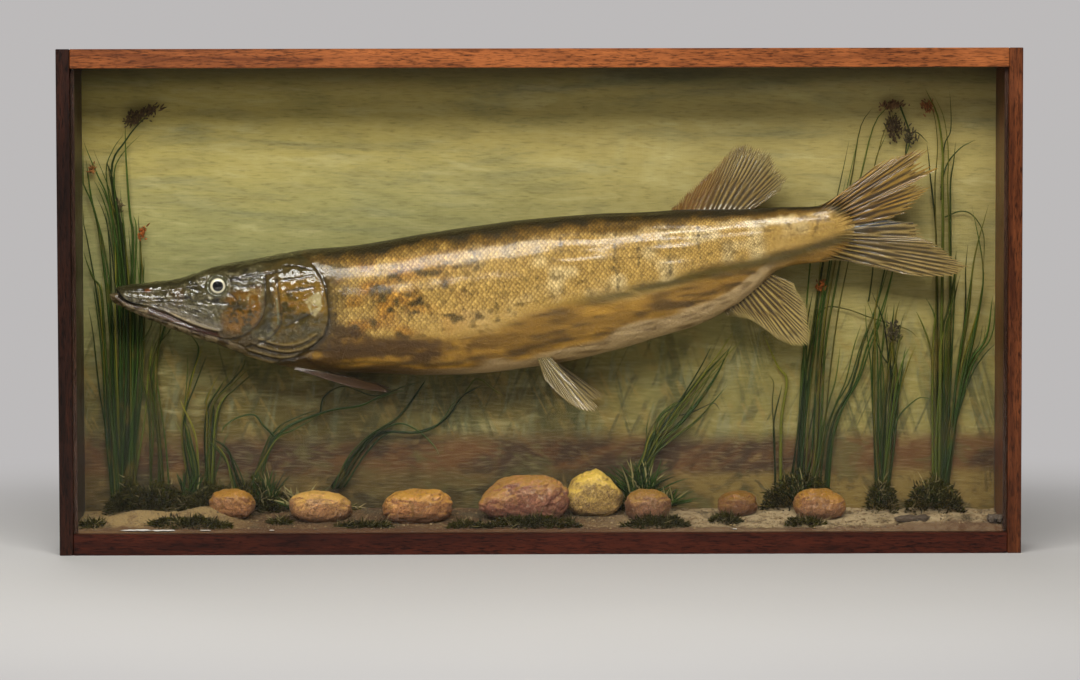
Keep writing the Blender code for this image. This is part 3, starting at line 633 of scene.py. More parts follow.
def stone_finish(name, top, front):
    """Ochre on what faces up, pinkish fronts, darker hollows, and a fine net of cracks."""
    f = Finish(name)
    here = f.place()
    up = f.add("SeparateXYZ", {"Vector": f.add("NewGeometry").outputs["Normal"]}).outputs["Z"]
    patch = f.noise(here, 60, 4, 0.6)
    cell = f.noise(here, 220, 4, 0.65, 0.8)
    crack = f.add("TexVoronoi", {"Vector": f.mix(0.12, here, f.noise(here, 90)), "Scale": 200.0},
                  feature="DISTANCE_TO_EDGE").outputs["Distance"]
    share = f.between(f.sum(up, f.times(patch, 1.5)), 0.45, 1.60)
    front, top = shaded(front, FRONT_WARMTH), shaded(top, TOP_WARMTH)
    lines = f.times(f.between(crack, 0.13, 0.02), f.between(share, 0.95, 0.2))
    worn = f.between(f.noise(here, 130, 5, 0.7, 1.0), 0.56, 0.70)
    stain = f.between(f.noise(f.place((1, 1, 0.6)), 85, 4, 0.6, 0.8), 0.55, 0.68)
    foot = f.between(f.add("SeparateXYZ", {"Vector": here}).outputs["Z"], 0.050, 0.036)
    colour = f.coats(f.mix(share, front, top),
                     (shaded(front, 1.35), f.between(cell, 0.52, 0.75)),
                     (shaded(front, 0.42), f.between(cell, 0.45, 0.28), 0.70),
                     ((0.095, 0.042, 0.026), lines, 0.80),
                     ((0.640, 0.430, 0.280), f.times(worn, f.between(share, 0.95, 0.3)), 0.70),
                     ((0.200, 0.100, 0.028), stain, 0.55),
                     ((0.080, 0.050, 0.030), foot, 0.60))
    relief = f.bump(lines, -0.0006, f.bump(cell, 0.0016))
    return f.done(colour, relief, roughness=0.6, specular_ior_level=0.15,
                  coat_weight=0.14, coat_roughness=0.28)[0]


def blunt(value):
    """A sine or cosine to a power below 1, with its sign kept."""
    return np.sign(value) * np.abs(value) ** BLUNTNESS


def make_stone(number, x, y, half_length, half_depth, top, lean, point, ochre, front):
    """A rounded block: cosines and sines to a power below 1 for the blunt form, then worn flats
    and lumps, with the upper half leaning and drawn in towards a point."""
    foot = ground_level(x, y) - 0.006
    rise, half_rise = (top + foot) / 2, (top - foot) / 2
    around, level = np.meshgrid(np.linspace(0, 2 * np.pi, STONE_COLUMNS, endpoint=False),
                                np.linspace(-1, 1, STONE_RINGS + 2)[1:-1] * np.pi / 2)
    reach = blunt(np.cos(level))
    unit = np.stack([reach * blunt(np.cos(around)), reach * blunt(np.sin(around)), blunt(np.sin(level))], -1)
    unit = np.concatenate([[[0, 0, -1]], unit.reshape(-1, 3), [[0, 0, 1]]])
    form = unit * (half_length, half_depth, half_rise)
    flats = np.round(2.6 * clouds(form, 0.022, 40 + number)) / 2.6
    ribs = np.abs(clouds(form * (1, 1, 1.6), 0.013, 50 + number))
    rib_depth = 0.015 if number in SMOOTH_STONES else 0.055
    lumps = (0.095 * flats - rib_depth * np.exp(-(ribs / 0.10) ** 2) + 0.10 * clouds(form, 0.024, 60 + number)
             + 0.030 * clouds(form, 0.007, 80 + number) + 0.012 * clouds(form, 0.0022, 90 + number))
    form = form * (1 + lumps[:, None] - 0.06)
    high = np.clip(unit[:, 2], 0, 1)
    form[:, 0] = form[:, 0] * (1 - point * high) + lean * half_length * high
    form[:, 1] = form[:, 1] * (1 - 0.6 * point * high)
    last_ring = 1 + (STONE_RINGS - 1) * STONE_COLUMNS
    faces = [fan(0, 1, STONE_COLUMNS, True), net(STONE_RINGS, STONE_COLUMNS, True, 1),
             fan(len(form) - 1, last_ring, STONE_COLUMNS)]
    name = f"painted_stone_{number}"
    made = piece(name, form + (x, y, rise), faces, stone_finish(name, ochre, front))
    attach(made, "root")
    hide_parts(f"stone_{number}")


for stone_number, stone in enumerate(STONES, 1):
    make_stone(stone_number, *stone)


# ------------------------------------------------------------ moss
# Dried and dyed moss is glued down in clumps round the foot of the reeds, with a few
# flat patches in front of the stones and some bleached straw caught in it.
# Middle across and in depth, half length, half depth, top; one clump for each solid.
MOSS = ((-0.484, 0.021, 0.050, 0.015, 0.099), (-0.385, 0.0275, 0.060, 0.0115, 0.099),
        (-0.425, -0.042, 0.050, 0.009, 0.050), (-0.010, -0.044, 0.060, 0.007, 0.051),
        (0.140, -0.042, 0.040, 0.009, 0.051), (0.319, 0.028, 0.046, 0.012, 0.104),
        (0.486, 0.024, 0.036, 0.013, 0.092))
PATCH_TOP = 0.056       # lower clumps are flat, darker patches
MOSS_STRANDS = 95       # to each patch of a clump's half length by its half depth
MOSS_PATCH = 55         # in square millimetres
# Patches and tufts too small to be solids of their own.
MOSS_TUFTS = ((-0.545, -0.035, 0.014, 0.010, 0.044), (-0.215, -0.038, 0.034, 0.007, 0.043),
              (-0.318, -0.018, 0.014, 0.010, 0.044), (-0.090, -0.040, 0.022, 0.007, 0.043),
              (0.225, -0.022, 0.020, 0.008, 0.050), (0.322, -0.036, 0.024, 0.007, 0.047),
              (0.421, 0.022, 0.018, 0.014, 0.092), (-0.318, 0.036, 0.020, 0.008, 0.085),
              (0.110, 0.036, 0.022, 0.008, 0.074), (-0.250, 0.038, 0.026, 0.006, 0.060))


def strands(spines, wide, thick, sides, facing=(0, -1, 0)):
    """Tapered stalks joined in one mesh. Each spine is a row of points that ends at the tip; at
    every point but the tip a ring of corners stands across the spine, wide along its broad side
    and thick across it. Gives the points, the arrays of faces, and the number of points in one."""
    count, steps, _ = spines.shape
    along = np.gradient(spines, axis=1)
    along /= np.linalg.norm(along, axis=-1, keepdims=True) + 1e-12
    broad = np.cross(along, np.broadcast_to(facing, along.shape))
    broad /= np.linalg.norm(broad, axis=-1, keepdims=True) + 1e-9
    out = np.cross(broad, along)
    turn = 2 * np.pi * np.arange(sides) / sides
    ring = (spines[:, :-1, None] + (wide[:, :-1, None] * np.cos(turn))[..., None] * broad[:, :-1, None]
            + (thick[:, :-1, None] * np.sin(turn))[..., None] * out[:, :-1, None])
    points = np.concatenate([ring.reshape(count, -1, 3), spines[:, -1:]], 1)
    size = points.shape[1]
    first = size * np.arange(count)[:, None, None]
    tips = fan(size - 1, (steps - 2) * sides, sides)
    foot = np.arange(sides)[::-1][None]
    return points, [net(steps - 1, sides, True) + first, tips + first, foot + first], size


def moss_finish():
    """Dull dyed plant fibre, each strand with its own tone, darkened as painted shade deep in the heap."""
    f = Finish("dyed_moss")
    tone = f.own_colour("tone")
    fleck = f.noise(f.place(), 600, 2, 0.6)
    colour = f.mix(f.between(fleck, 0.35, 0.75), tone, f.mix(0.35, tone, (0.110, 0.080, 0.018)))
    return f.done(colour, f.bump(fleck, 0.0002), roughness=0.9, specular_ior_level=0.08)[0]


dyed_moss = moss_finish()


def make_moss(name, clumps, seed, straw=0.03):
    """Curled strands that stand out all over a low heap, thickest at its foot, with painted shade on those
    rooted deep in it.
    """
    dice = np.random.default_rng(seed)
    roots, outward, heights = [], [], []
    for x, y, half_length, half_depth, top in clumps:
        count = int(MOSS_STRANDS * (half_length * 1000) * max(half_depth * 1000, 8) / MOSS_PATCH)
        turn, reach = dice.uniform(0, 2 * np.pi, count), np.sqrt(dice.random(count))
        across, deep = reach * np.cos(turn), reach * np.sin(turn)
        root_x, root_y = x + half_length * across, y + half_depth * deep
        foot = ground_level(root_x, root_y)
        lumpy = 0.80 + 0.35 * clouds(np.stack([root_x, 0 * foot, 0 * foot], -1), 0.012, seed)
        heap = np.sqrt(np.clip(1 - reach ** 2, 0, 1)) * (top - foot - 0.004) * lumpy
        depth = dice.random(count) ** 0.5
        roots.append(np.stack([root_x, root_y, foot + heap * depth - 0.001], -1))
        outward.append(np.stack([across * 1.1, deep * 0.9 - 0.35, 0.25 + 0.9 * (1 - reach)], -1))
        heights.append(np.full(count, top))
    roots, outward, heights = np.concatenate(roots), np.concatenate(outward), np.concatenate(heights)
    outward = outward + dice.normal(0, 0.55, outward.shape)
    outward /= np.linalg.norm(outward, axis=1, keepdims=True)
    is_straw = dice.random(len(roots)) < straw
    length = dice.uniform(0.0030, 0.0080, len(roots)) * np.where(is_straw, 2.2, 1.0)
    curl = dice.normal(0, 0.45, roots.shape)
    step = np.array([0, 0.4, 0.75, 1.0])[None, :, None]
    bent = outward[:, None] * step + 0.6 * curl[:, None] * step ** 2
    spines = roots[:, None] + length[:, None, None] * bent
    spines[..., 1] = np.clip(spines[..., 1], INSIDE_FRONT + 0.001, INSIDE_BACK - 0.0012)
    width = np.where(is_straw, 0.00040, dice.uniform(0.00045, 0.00115, len(roots)))
    width = width[:, None] * (1, 1.2, 0.8, 0)
    points, faces, size = strands(spines, width, width * 0.45, 3, (0.3, -0.8, 0.5))
    made = piece(name, points, faces, dyed_moss)
    warm = dice.random((len(roots), 1))
    patch = 0.5 + 0.5 * clouds(roots, 0.014, seed + 1)[:, None]
    colours = ((0.004, 0.007, 0.001) + warm ** 3 * (0.075, 0.068, 0.006)
               + patch ** 2 * (0.034, 0.026, 0.002))
    colours = np.where(is_straw[:, None], (0.42, 0.33, 0.15), colours)
    # painted shade: strands rooted deep in the heap, far below its top, are darkened and those near the top
    # lightened; flat low patches are darker in their own colour
    low = np.clip((heights - roots[:, 2]) / 0.045, 0, 1)[:, None]
    colours = colours * (1.5 - 0.9 * low) * np.where(heights < PATCH_TOP, 0.6, 1.0)[:, None]
    tint(made, "tone", np.repeat(colours, size, axis=0))
    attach(made, "root")
    return made


for moss_number, clump in enumerate(MOSS, 1):
    moss_clump = make_moss(f"moss_clump_{moss_number}", [clump], 200 + moss_number)
    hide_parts(f"moss_{moss_number}")
make_moss("moss_tufts", MOSS_TUFTS, 220, straw=0.06)


# ------------------------------------------------------------ reeds
# Dried rushes and grasses, dyed green, stand in bunches against the back. Each bunch is
# its main stems, as points across and up in millimetres from the root to the tip, and some
# thinner stems beside each; brown seed heads and orange buds are fixed on a few of them.
REED_Y = 0.0425
REED_BUNCHES = {
    1: (((-519, 50), (-527, 182), (-532, 292), (-541, 387), (-550, 429), (-558, 479)),
        ((-517, 50), (-517, 181), (-516, 326), (-530, 420), (-543, 459), (-560, 502)),
        ((-509, 50), (-504, 230), (-501, 373), (-505, 409), (-507, 468), (-508, 522)),
        ((-513, 50), (-508, 230), (-510, 366), (-521, 433), (-527, 459), (-531, 474)),
        ((-511, 60), (-506, 230), (-509, 340), (-527, 459), (-507, 501), (-476, 536)),
        ((-505, 50), (-490, 205), (-488, 326), (-490, 380)),
        ((-522, 50), (-530, 180), (-539, 305), (-549, 332), (-561, 365))),
    2: (((-479, 50), (-481, 158), (-492, 209), (-489, 248), (-479, 272), (-476, 304)),
        ((-465, 50), (-475, 204), (-463, 272), (-461, 304)),
        ((-418, 50), (-425, 131), (-442, 182)),
        ((-415, 50), (-411, 131), (-412, 173)),
        ((-413, 50), (-404, 156), (-399, 181), (-371, 215), (-363, 231)),
        ((-420, 50), (-437, 143), (-431, 199), (-422, 242), (-430, 261)),
        ((-410, 50), (-406, 162), (-380, 199), (-351, 228))),
    3: (((-362, 50), (-384, 114), (-408, 137)),
        ((-355, 50), (-350, 85), (-325, 133), (-304, 143), (-270, 164))),
    4: (((-352, 50), (-325, 133), (-270, 164), (-223, 173), (-195, 185), (-157, 194)),
        ((-325, 133), (-343, 150), (-354, 162), (-372, 159), (-388, 148), (-393, 137)),
        ((-270, 164), (-265, 185), (-242, 197), (-204, 185), (-166, 197), (-144, 203)),
        ((-250, 70), (-232, 107), (-204, 138), (-175, 159), (-149, 194), (-141, 206)),
        ((-250, 72), (-204, 135), (-147, 140), (-118, 156), (-95, 184), (-69, 199)),
        ((-204, 138), (-175, 151), (-147, 140), (-133, 125), (-124, 109)),
        ((-95, 184), (-79, 206), (-55, 192), (-46, 184))),
    5: (((108, 55), (129, 101), (160, 155), (197, 206), (225, 242), (241, 265)),
        ((108, 55), (136, 114), (179, 154), (213, 203), (238, 248)),
        ((112, 55), (134, 114), (142, 148), (158, 169), (186, 185)),
        ((173, 160), (187, 164), (214, 175), (224, 166))),
    6: (((299, 60), (298, 151), (304, 202), (294, 221), (278, 259)),),
    7: (((322, 60), (329, 187), (336, 242), (344, 302), (353, 364), (364, 423), (381, 503)),
        ((332, 60), (345, 133), (352, 241), (365, 314), (378, 382), (395, 454), (412, 521),
         (438, 547)),
        ((317, 60), (325, 187), (329, 253), (336, 314)),
        ((350, 60), (360, 147), (384, 194), (401, 251), (414, 288), (425, 339), (432, 382)),
        ((329, 215), (336, 265), (350, 292), (378, 291), (410, 280), (454, 266), (467, 255)),
        ((405, 300), (413, 376), (412, 468), (428, 508))),
    8: (((421, 55), (412, 194), (414, 270), (416, 320)),
        ((422, 55), (435, 194), (429, 233), (423, 277), (410, 314)),
        ((423, 55), (439, 230), (450, 259)),
        ((421, 55), (427, 178), (436, 265), (445, 302))),
    9: (((493, 55), (493, 194), (492, 251), (488, 279), (476, 305)),
        ((495, 55), (497, 241), (503, 289), (512, 339), (515, 363)),
        ((494, 55), (496, 240), (496, 376), (495, 452), (497, 483), (491, 528), (473, 564)),
        ((498, 55), (500, 99), (526, 213), (552, 255), (560, 308)),
        ((499, 55), (513, 178), (527, 277), (536, 346), (553, 421)),
        ((499, 55), (519, 190), (538, 265), (546, 331), (532, 418)),
        ((499, 404), (517, 411), (534, 407), (546, 383), (548, 340)),
        ((496, 440), (502, 471), (518, 488), (536, 499)),
        ((495, 425), (499, 490), (505, 512), (504, 560)),
        ((445, 542), (455, 504), (451, 474)),
        ((451, 474), (455, 504), (464, 508), (480, 495)),
        ((437, 141), (449, 166), (468, 181), (487, 179))),
}
REED_BESIDE = {1: 5, 2: 3, 3: 3, 4: 2, 5: 9, 6: 2, 7: 5, 8: 4, 9: 4}
REED_SOLIDS = {1: ["reed_clump_1"], 2: ["reed_clump_2"], 3: [], 4: ["reed_clump_3", "reed_clump_4"],
               5: ["reed_clump_5"], 6: ["reed_clump_6"], 7: ["reed_clump_7"], 8: ["reed_clump_8"],
               9: ["reed_clump_9"]}


def mm(*rows):
    """Sizes given in millimetres, or shares in thousandths, as an array."""
    return np.array(rows) / 1000


def smooth_line(points, count):
    """A Catmull-Rom curve through the points, read at even steps of its parameter."""
    points = np.asarray(points, float)
    padded = np.concatenate([[2 * points[0] - points[1]], points, [2 * points[-1] - points[-2]]])
    at = np.linspace(0, len(points) - 1, count)
    cell = np.minimum(at.astype(int), len(points) - 2)
    t = (at - cell)[:, None]
    a, b, c, d = (padded[cell + i] for i in range(4))
    return 0.5 * (2 * b + (c - a) * t + (2 * a - 5 * b + 4 * c - d) * t ** 2
                  + (3 * b - a - 3 * c + d) * t ** 3)


def reed_finish():
    """Dyed dry stem: fine lengthwise lines, a slight wax sheen."""
    f = Finish("dyed_reed")
    tone = f.own_colour("tone")
    line = f.noise(f.place((1, 1, 0.05)), 1400, 3, 0.6)
    patch = f.noise(f.place((1, 1, 0.4)), 60, 3, 0.6)
    colour = f.mix(f.between(patch, 0.55, 0.75), tone, f.mix(0.6, tone, (0.130, 0.085, 0.016)))
    colour = f.coats(colour, (f.mix(0.5, colour, (0.006, 0.007, 0.002)), f.between(line, 0.50, 0.30)))
    return f.done(colour, f.bump(line, 0.0002), roughness=0.5, specular_ior_level=0.15)[0]


dyed_reed = reed_finish()
REED_STEPS, REED_SIDES = 26, 6
ROOT_TOP = 0.080        # stems that begin higher branch off another and have none beside


def make_reeds(number, seed):
    """The main stems of a bunch with thinner ones beside them, a little in front or behind."""
    dice = np.random.default_rng(seed)
    lines, widths, tones = [], [], []
    share = np.linspace(0, 1, REED_STEPS)
    for points in REED_BUNCHES[number]:
        main = smooth_line(mm(*points), REED_STEPS)
        rooted = main[0, 1] < ROOT_TOP
        for copy in range(1 + (REED_BESIDE[number] if rooted else 0)):
            line = main.copy()
            if copy:
                keep = int(REED_STEPS * dice.uniform(0.55, 1.0))
                line = smooth_line(main[:max(keep, 4):3], REED_STEPS)
                line[:, 0] += dice.uniform(-0.009, 0.009) + share ** 1.6 * dice.uniform(-0.022, 0.022)
            depth = REED_Y - dice.uniform(0, 0.007) - share * dice.uniform(0, 0.004)
            wobble = 0.0012 * np.sin(share * dice.uniform(5, 12) + dice.uniform(0, 6))
            across = np.clip(line[:, 0] + wobble, INSIDE_LEFT + 0.002, INSIDE_RIGHT - 0.002)
            lines.append(np.stack([across, depth, line[:, 1]], -1))
            base = dice.uniform(0.0012, 0.0021) * (0.7 if copy else 1.0) * (1.0 if rooted else 0.65)
            widths.append(base * np.clip(1.1 - 0.55 * share - 0.5 * share ** 8, 0.12, None))
            tones.append(np.array((0.014, 0.030, 0.0030)) * dice.uniform(0.4, 2.0)
                         + dice.random() ** 5 * np.array((0.110, 0.085, 0.008)))
    spines, wide = np.array(lines), np.array(widths)
    points, faces, _ = strands(spines, wide, wide * 0.55, REED_SIDES)
    made = piece(f"reeds_{number}", points, faces, dyed_reed)
    height = np.concatenate([np.repeat(share[:-1], REED_SIDES), [1]])
    dry = 0.8 + 0.9 * height[None, :, None] ** 2 * (1 + np.array((0.5, 0.2, 0)))
    tint(made, "tone", (np.array(tones)[:, None] * dry).reshape(-1, 3))
    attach(made, "root")
    if REED_SOLIDS[number]:
        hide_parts(*REED_SOLIDS[number])


for bunch in REED_BUNCHES:
    make_reeds(bunch, 300 + bunch)

# Leafy tufts: middle of the foot across and up, how tall, how wide it spreads, blades, and the
# share of blades bleached to straw.
LEAF_TUFTS = ((-0.338, 0.048, 0.060, 0.022, 46, 0.30), (-0.300, 0.046, 0.034, 0.030, 30, 0.40),
              (0.124, 0.054, 0.062, 0.038, 100, 0.15), (0.160, 0.048, 0.030, 0.026, 40, 0.25),
              (-0.430, 0.060, 0.045, 0.030, 26, 0.35), (0.320, 0.055, 0.045, 0.026, 40, 0.15),
              (0.487, 0.052, 0.036, 0.022, 36, 0.15), (0.421, 0.050, 0.030, 0.014, 26, 0.15))


def make_leaf_tufts():
    """Short blades that rise from one foot, lean outward and curl over as the square of the share."""
    dice = np.random.default_rng(43)
    spines, tones = [], []
    share = np.linspace(0, 1, 9)[None, :]
    for x, z, tall, spread, count, straw in LEAF_TUFTS:
        lean, height = dice.normal(0, 0.5, (count, 1)), dice.uniform(0.35, 1.0, (count, 1)) * tall
        foot = x + dice.uniform(-0.35, 0.35, (count, 1)) * spread
        across = foot + spread * lean * share + spread * dice.normal(0, 0.35, (count, 1)) * share ** 2
        deep = REED_Y - 0.010 - dice.uniform(-0.006, 0.012, (count, 1)) * share - 0 * foot
        up = z + height * (share - 0.35 * np.abs(lean) * share ** 2)
        spines.append(np.stack([across, deep, up], -1))
        pale = dice.random((count, 1)) < straw
        fresh = np.array((0.015, 0.032, 0.003)) * dice.uniform(0.4, 2.4, (count, 1))
        straw_tone = np.array((0.420, 0.360, 0.140)) * dice.uniform(0.5, 1.1, (count, 1))
        tones.append(np.where(pale, straw_tone, fresh))
    spines, tones = np.concatenate(spines), np.concatenate(tones)
    wide = dice.uniform(0.0006, 0.0013, (len(spines), 1)) * np.sin(np.pi * (0.15 + 0.80 * share))
    points, faces, size = strands(spines, wide, wide * 0.4, 4)
    made = piece("leaf_tufts", points, faces, dyed_reed)
    tint(made, "tone", np.repeat(tones, size, axis=0))
    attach(made, "root")


make_leaf_tufts()


# Seed heads: middle across and up, half spread both ways, lean, how many spikelets, colour.
SEED_HEADS = ((-0.500, 0.526, 0.013, 0.010, 0.5, 110, (0.085, 0.052, 0.022)),
              (-0.482, 0.535, 0.013, 0.008, 0.7, 90, (0.085, 0.050, 0.022)),
              (-0.549, 0.463, 0.005, 0.007, 0.0, 34, (0.260, 0.110, 0.030)),
              (-0.517, 0.420, 0.005, 0.007, -0.1, 34, (0.110, 0.085, 0.035)),
              (-0.490, 0.385, 0.005, 0.009, 0.2, 40, (0.300, 0.085, 0.018)),
              (0.346, 0.318, 0.006, 0.008, 0.1, 44, (0.300, 0.085, 0.018)),
              (0.436, 0.512, 0.011, 0.018, 0.0, 150, (0.070, 0.045, 0.022)),
              (0.430, 0.540, 0.016, 0.006, 0.6, 90, (0.170, 0.085, 0.035)),
              (0.457, 0.503, 0.008, 0.012, -0.2, 60, (0.075, 0.060, 0.030)),
              (0.477, 0.539, 0.008, 0.007, -0.2, 56, (0.270, 0.100, 0.030)),
              (0.436, 0.262, 0.010, 0.014, 0.1, 70, (0.060, 0.048, 0.025)))
SPIKELET_STEPS = np.array([0, 0.35, 0.75, 1.0])
SPIKELET_WIDTH = np.array([0.0005, 0.0010, 0.0006, 0])
SEED_CEILING = 0.572


def make_seed_heads():
    """Clusters of short pointed spikelets that burst up and out from each middle."""
    dice = np.random.default_rng(41)
    spines, tones = [], []
    for x, z, half_width, half_height, lean, count, colour in SEED_HEADS:
        root = dice.normal(0, 0.45, (count, 3)) * (half_width, 0.003, half_height)
        root[:, 0] += lean * (root[:, 2] + 0.2 * half_width)
        root += (x, REED_Y - 0.006, z)
        away = dice.normal(0, 0.6, (count, 3)) * (1, 0.6, 0.7) + (lean, -0.15, 0.9)
        away /= np.linalg.norm(away, axis=1, keepdims=True)
        reach = dice.uniform(0.003, 0.0075, count)[:, None, None]
        spines.append(root[:, None] + reach * away[:, None] * SPIKELET_STEPS[:, None])
        tones.append(np.array(colour) * dice.uniform(0.5, 1.7, (count, 1)))
    spines, tones = np.concatenate(spines), np.concatenate(tones)
    spines[..., 1] = np.clip(spines[..., 1], 0.02, INSIDE_BACK - 0.0012)
    spines[..., 2] = np.clip(spines[..., 2], 0, SEED_CEILING)
    wide = np.broadcast_to(SPIKELET_WIDTH, spines.shape[:2])
    points, faces, size = strands(spines, wide, wide, 4)
    made = piece("seed_heads", points, faces, dyed_reed)
    tint(made, "tone", np.repeat(tones, size, axis=0))
    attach(made, "root")


make_seed_heads()


# ------------------------------------------------------------ fish: skin
# A real pike skin drawn over a carved body, dried, painted back to life in oils and
# varnished. One skin runs from jaw tip to tail root, a scale's depth inside the solids;
# the head keeps its bones, grooves and folds, and the trunk is covered by the scales.
FISH_Y = (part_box("head")[0][1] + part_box("head")[1][1]) / 2
JAW_TIP = (-0.5253, FISH_Y, 0.3157)
FISH_TILT = math.radians(4.55)
COAT_DEPTH = 0.0006
# Stations of the body: distance from the jaw tip, back, belly, half width and level of the widest
# place, and how round the section is in thousandths (1000 is an ellipse, less is boxier).
STATIONS = mm((0, 3, -8, 8, -3, 900), (4, 4.8, -12.5, 12.8, -5, 840), (13, 6.3, -18.5, 16.8, -8, 780),
              (48, 7.6, -38.5, 21.2, -15, 740), (90, 10.5, -59, 24.8, -24, 720),
              (130, 20.3, -76, 29.5, -29, 740), (187, 26.5, -103.5, 37.8, -34, 820),
              (237, 31.8, -116.5, 43.2, -38, 860), (300, 32.5, -124, 45, -42, 880),
              (400, 41, -135, 46, -44, 900), (540, 47.8, -131.2, 45.5, -40, 900),
              (650, 44.5, -113.5, 39, -30, 910), (740, 41.5, -88, 30, -20, 920),
              (785, 37.8, -62, 24, -8, 920), (815, 37.6, -40.5, 19, -1, 940),
              (866, 35.2, -35, 12.5, 1, 970), (890, 36, -35.2, 8.8, 2, 1000),
              (905, 35.5, -34.5, 6, 2, 1000), (917, 34, -33, 3.6, 3, 1000),
              (930, 31.5, -30.5, 0.9, 3, 1000))
NOSE_ROUND = 0.005
TAIL_ROUND = 0.004
TRUNK_START = 0.285
SKIN_END = 0.930
TAIL_START, TAIL_TIP, TAIL_LEVEL = 0.868, 0.914, 0.004
TAIL_HOLLOW = 22.0
EYE = (0.1346, -0.0028)


def ease(value, low, high):
    """0 at low, 1 at high, with a smooth start and end."""
    share = np.clip((value - low) / (high - low), 0, 1)
    return share * share * (3 - 2 * share)


def through(table, x):
    """A cubic curve through the rows of a table, with slopes taken from the neighbours."""
    keys, values = table[:, 0], table[:, 1:]
    slopes = np.gradient(values, keys, axis=0)
    x = np.clip(np.atleast_1d(x), keys[0], keys[-1])
    i = np.clip(np.searchsorted(keys, x, side="right") - 1, 0, len(keys) - 2)
    span = (keys[i + 1] - keys[i])[..., None]
    u = (x - keys[i])[..., None] / span
    return ((2 * u**3 - 3 * u**2 + 1) * values[i] + (u**3 - 2 * u**2 + u) * span * slopes[i]
            + (3 * u**2 - 2 * u**3) * values[i + 1] + (u**3 - u**2) * span * slopes[i + 1])


def body(x, turn, inset=0.0):
    """A point of the body: half the width times a cosine, and the rise or fall from the widest
    level times a sine, each to the power of the roundness. Both ends close in quarter circles."""
    back, belly, half, widest, roundness = np.moveaxis(through(STATIONS, x), -1, 0)
    nose = np.sqrt(np.clip(1 - (1 - np.clip(x / NOSE_ROUND, 0, 1)) ** 2, 0, 1))
    tail = np.sqrt(np.clip(1 - (1 - np.clip((SKIN_END - x) / TAIL_ROUND, 0, 1)) ** 2, 0, 1))
    closing = nose * tail
    c, s = np.cos(turn), np.sin(turn)
    reach = np.where(s > 0, back - widest, widest - belly) - inset
    y = (half - inset) * closing * np.sign(c) * np.abs(c) ** roundness
    z = widest + reach * closing * np.sign(s) * np.abs(s) ** roundness
    return np.stack([x + 0 * y, y, z], -1)


TURN_STEPS = 721
ROUND = -np.pi / 2 - 2 * np.pi * np.linspace(0, 1, TURN_STEPS)


def turns_at(x, shares):
    """Turns round the section at x that lie at the given shares of its girth, counted from the
    belly round by the left side, and the girth."""
    ring = body(np.full(len(ROUND), x), ROUND)
    arc = np.concatenate([[0], np.cumsum(np.linalg.norm(np.diff(ring, axis=0), axis=1))])
    return np.interp(shares * arc[-1], arc, ROUND), arc[-1]


def into_case(points):
    """From the fish's own axes to the case: tilted with the tail up, and set at the jaw tip."""
    c, s = math.cos(FISH_TILT), math.sin(FISH_TILT)
    x, y, z = np.moveaxis(np.asarray(points), -1, 0)
    return np.stack([JAW_TIP[0] + c * x - s * z, JAW_TIP[1] + y, JAW_TIP[2] + s * x + c * z], -1)


def near(x, z, path, steps=24):
    """Distance in side view to a smooth line through the points of a path."""
    line = smooth_line(path, steps) if len(path) > 2 else np.asarray(path)
    best = np.full(np.shape(x), np.inf)
    for (ax, az), (bx, bz) in zip(line[:-1], line[1:]):
        dx, dz = bx - ax, bz - az
        t = np.clip(((x - ax) * dx + (z - az) * dz) / (dx * dx + dz * dz + 1e-12), 0, 1)
        best = np.minimum(best, np.hypot(x - ax - t * dx, z - az - t * dz))
    return best


def bell(distance, width):
    """1 at no distance, falling away to nothing on both sides as a bell curve."""
    return np.exp(-(distance / width) ** 2)


def stroke(x, z, path, width):
    """The bell curve of the distance to a line."""
    return bell(near(x, z, path), width)


def spot(x, z, place, radius, stretch=1.0):
    """The bell curve of the distance to a place, stretched along the fish."""
    return bell(np.hypot((x - place[0]) / stretch, z - place[1]), radius)


def inside(x, z, outline, soft):
    """1 inside a closed outline and 0 outside, eased over a soft edge."""
    line = smooth_line(list(outline) + [outline[0]], 72)
    crossings = np.zeros(np.shape(x), bool)
    for (ax, az), (bx, bz) in zip(line[:-1], line[1:]):
        spans = (az > z) != (bz > z)
        crossings ^= spans & (x < ax + (z - az) * (bx - ax) / (bz - az + 1e-15))
    return ease(near(x, z, line, 73) * np.where(crossings, 1, -1), -soft, soft)


# Lines of the head in side view, from the jaw tip: back along the fish and up, in millimetres.
MOUTH_GAP = mm((-2, 1.2), (6.5, 0), (14, -6.2), (23, -13.5), (36, -18.2), (50, -22.2))
LIP_FOLD = mm((50, -24.2), (69, -33), (89, -44.5), (110, -54.5), (128, -60.4))
UPPER_JAW = mm((46, -18.8), (70, -18.2), (94, -22.6), (121, -30.8), (131.5, -46), (134.5, -57.8),
               (110, -50.2), (89, -39.8), (69, -28.5), (50, -20.6))
UPPER_JAW_EDGE = mm((50, -20), (69, -27.5), (89, -38.8), (110, -49.1), (132, -56.8))
JAW_EDGE = mm((7, -9), (13, -15.6), (27, -24.1), (52, -34.6), (88, -50), (112, -60), (135, -68), (160, -80))
CHEEK_GROOVE = mm((193, 4), (192.5, -15), (190.5, -31.3), (183.3, -47.7), (170, -60), (155, -68),
                  (140, -69))
BONE_RIDGE = mm((198.5, 0), (198.5, -20), (197, -36), (189, -53), (175, -66))
GILL_GROOVE = mm((207, 0), (208.5, -24), (208.5, -52), (198.7, -65.8), (184.6, -74.5), (165, -80))
GILL_BONE = mm((205.5, -24), (206, -40), (205, -54))
GILL_EDGE = mm((235, 30), (248, 18), (256, 6), (263.8, -12.9), (266, -37.2), (265.5, -54.3), (258.8, -72),
               (237, -88.3), (214.3, -97), (190, -102))
GILL_CREASE = mm((248, -44), (231, -50.5), (214, -57.6))
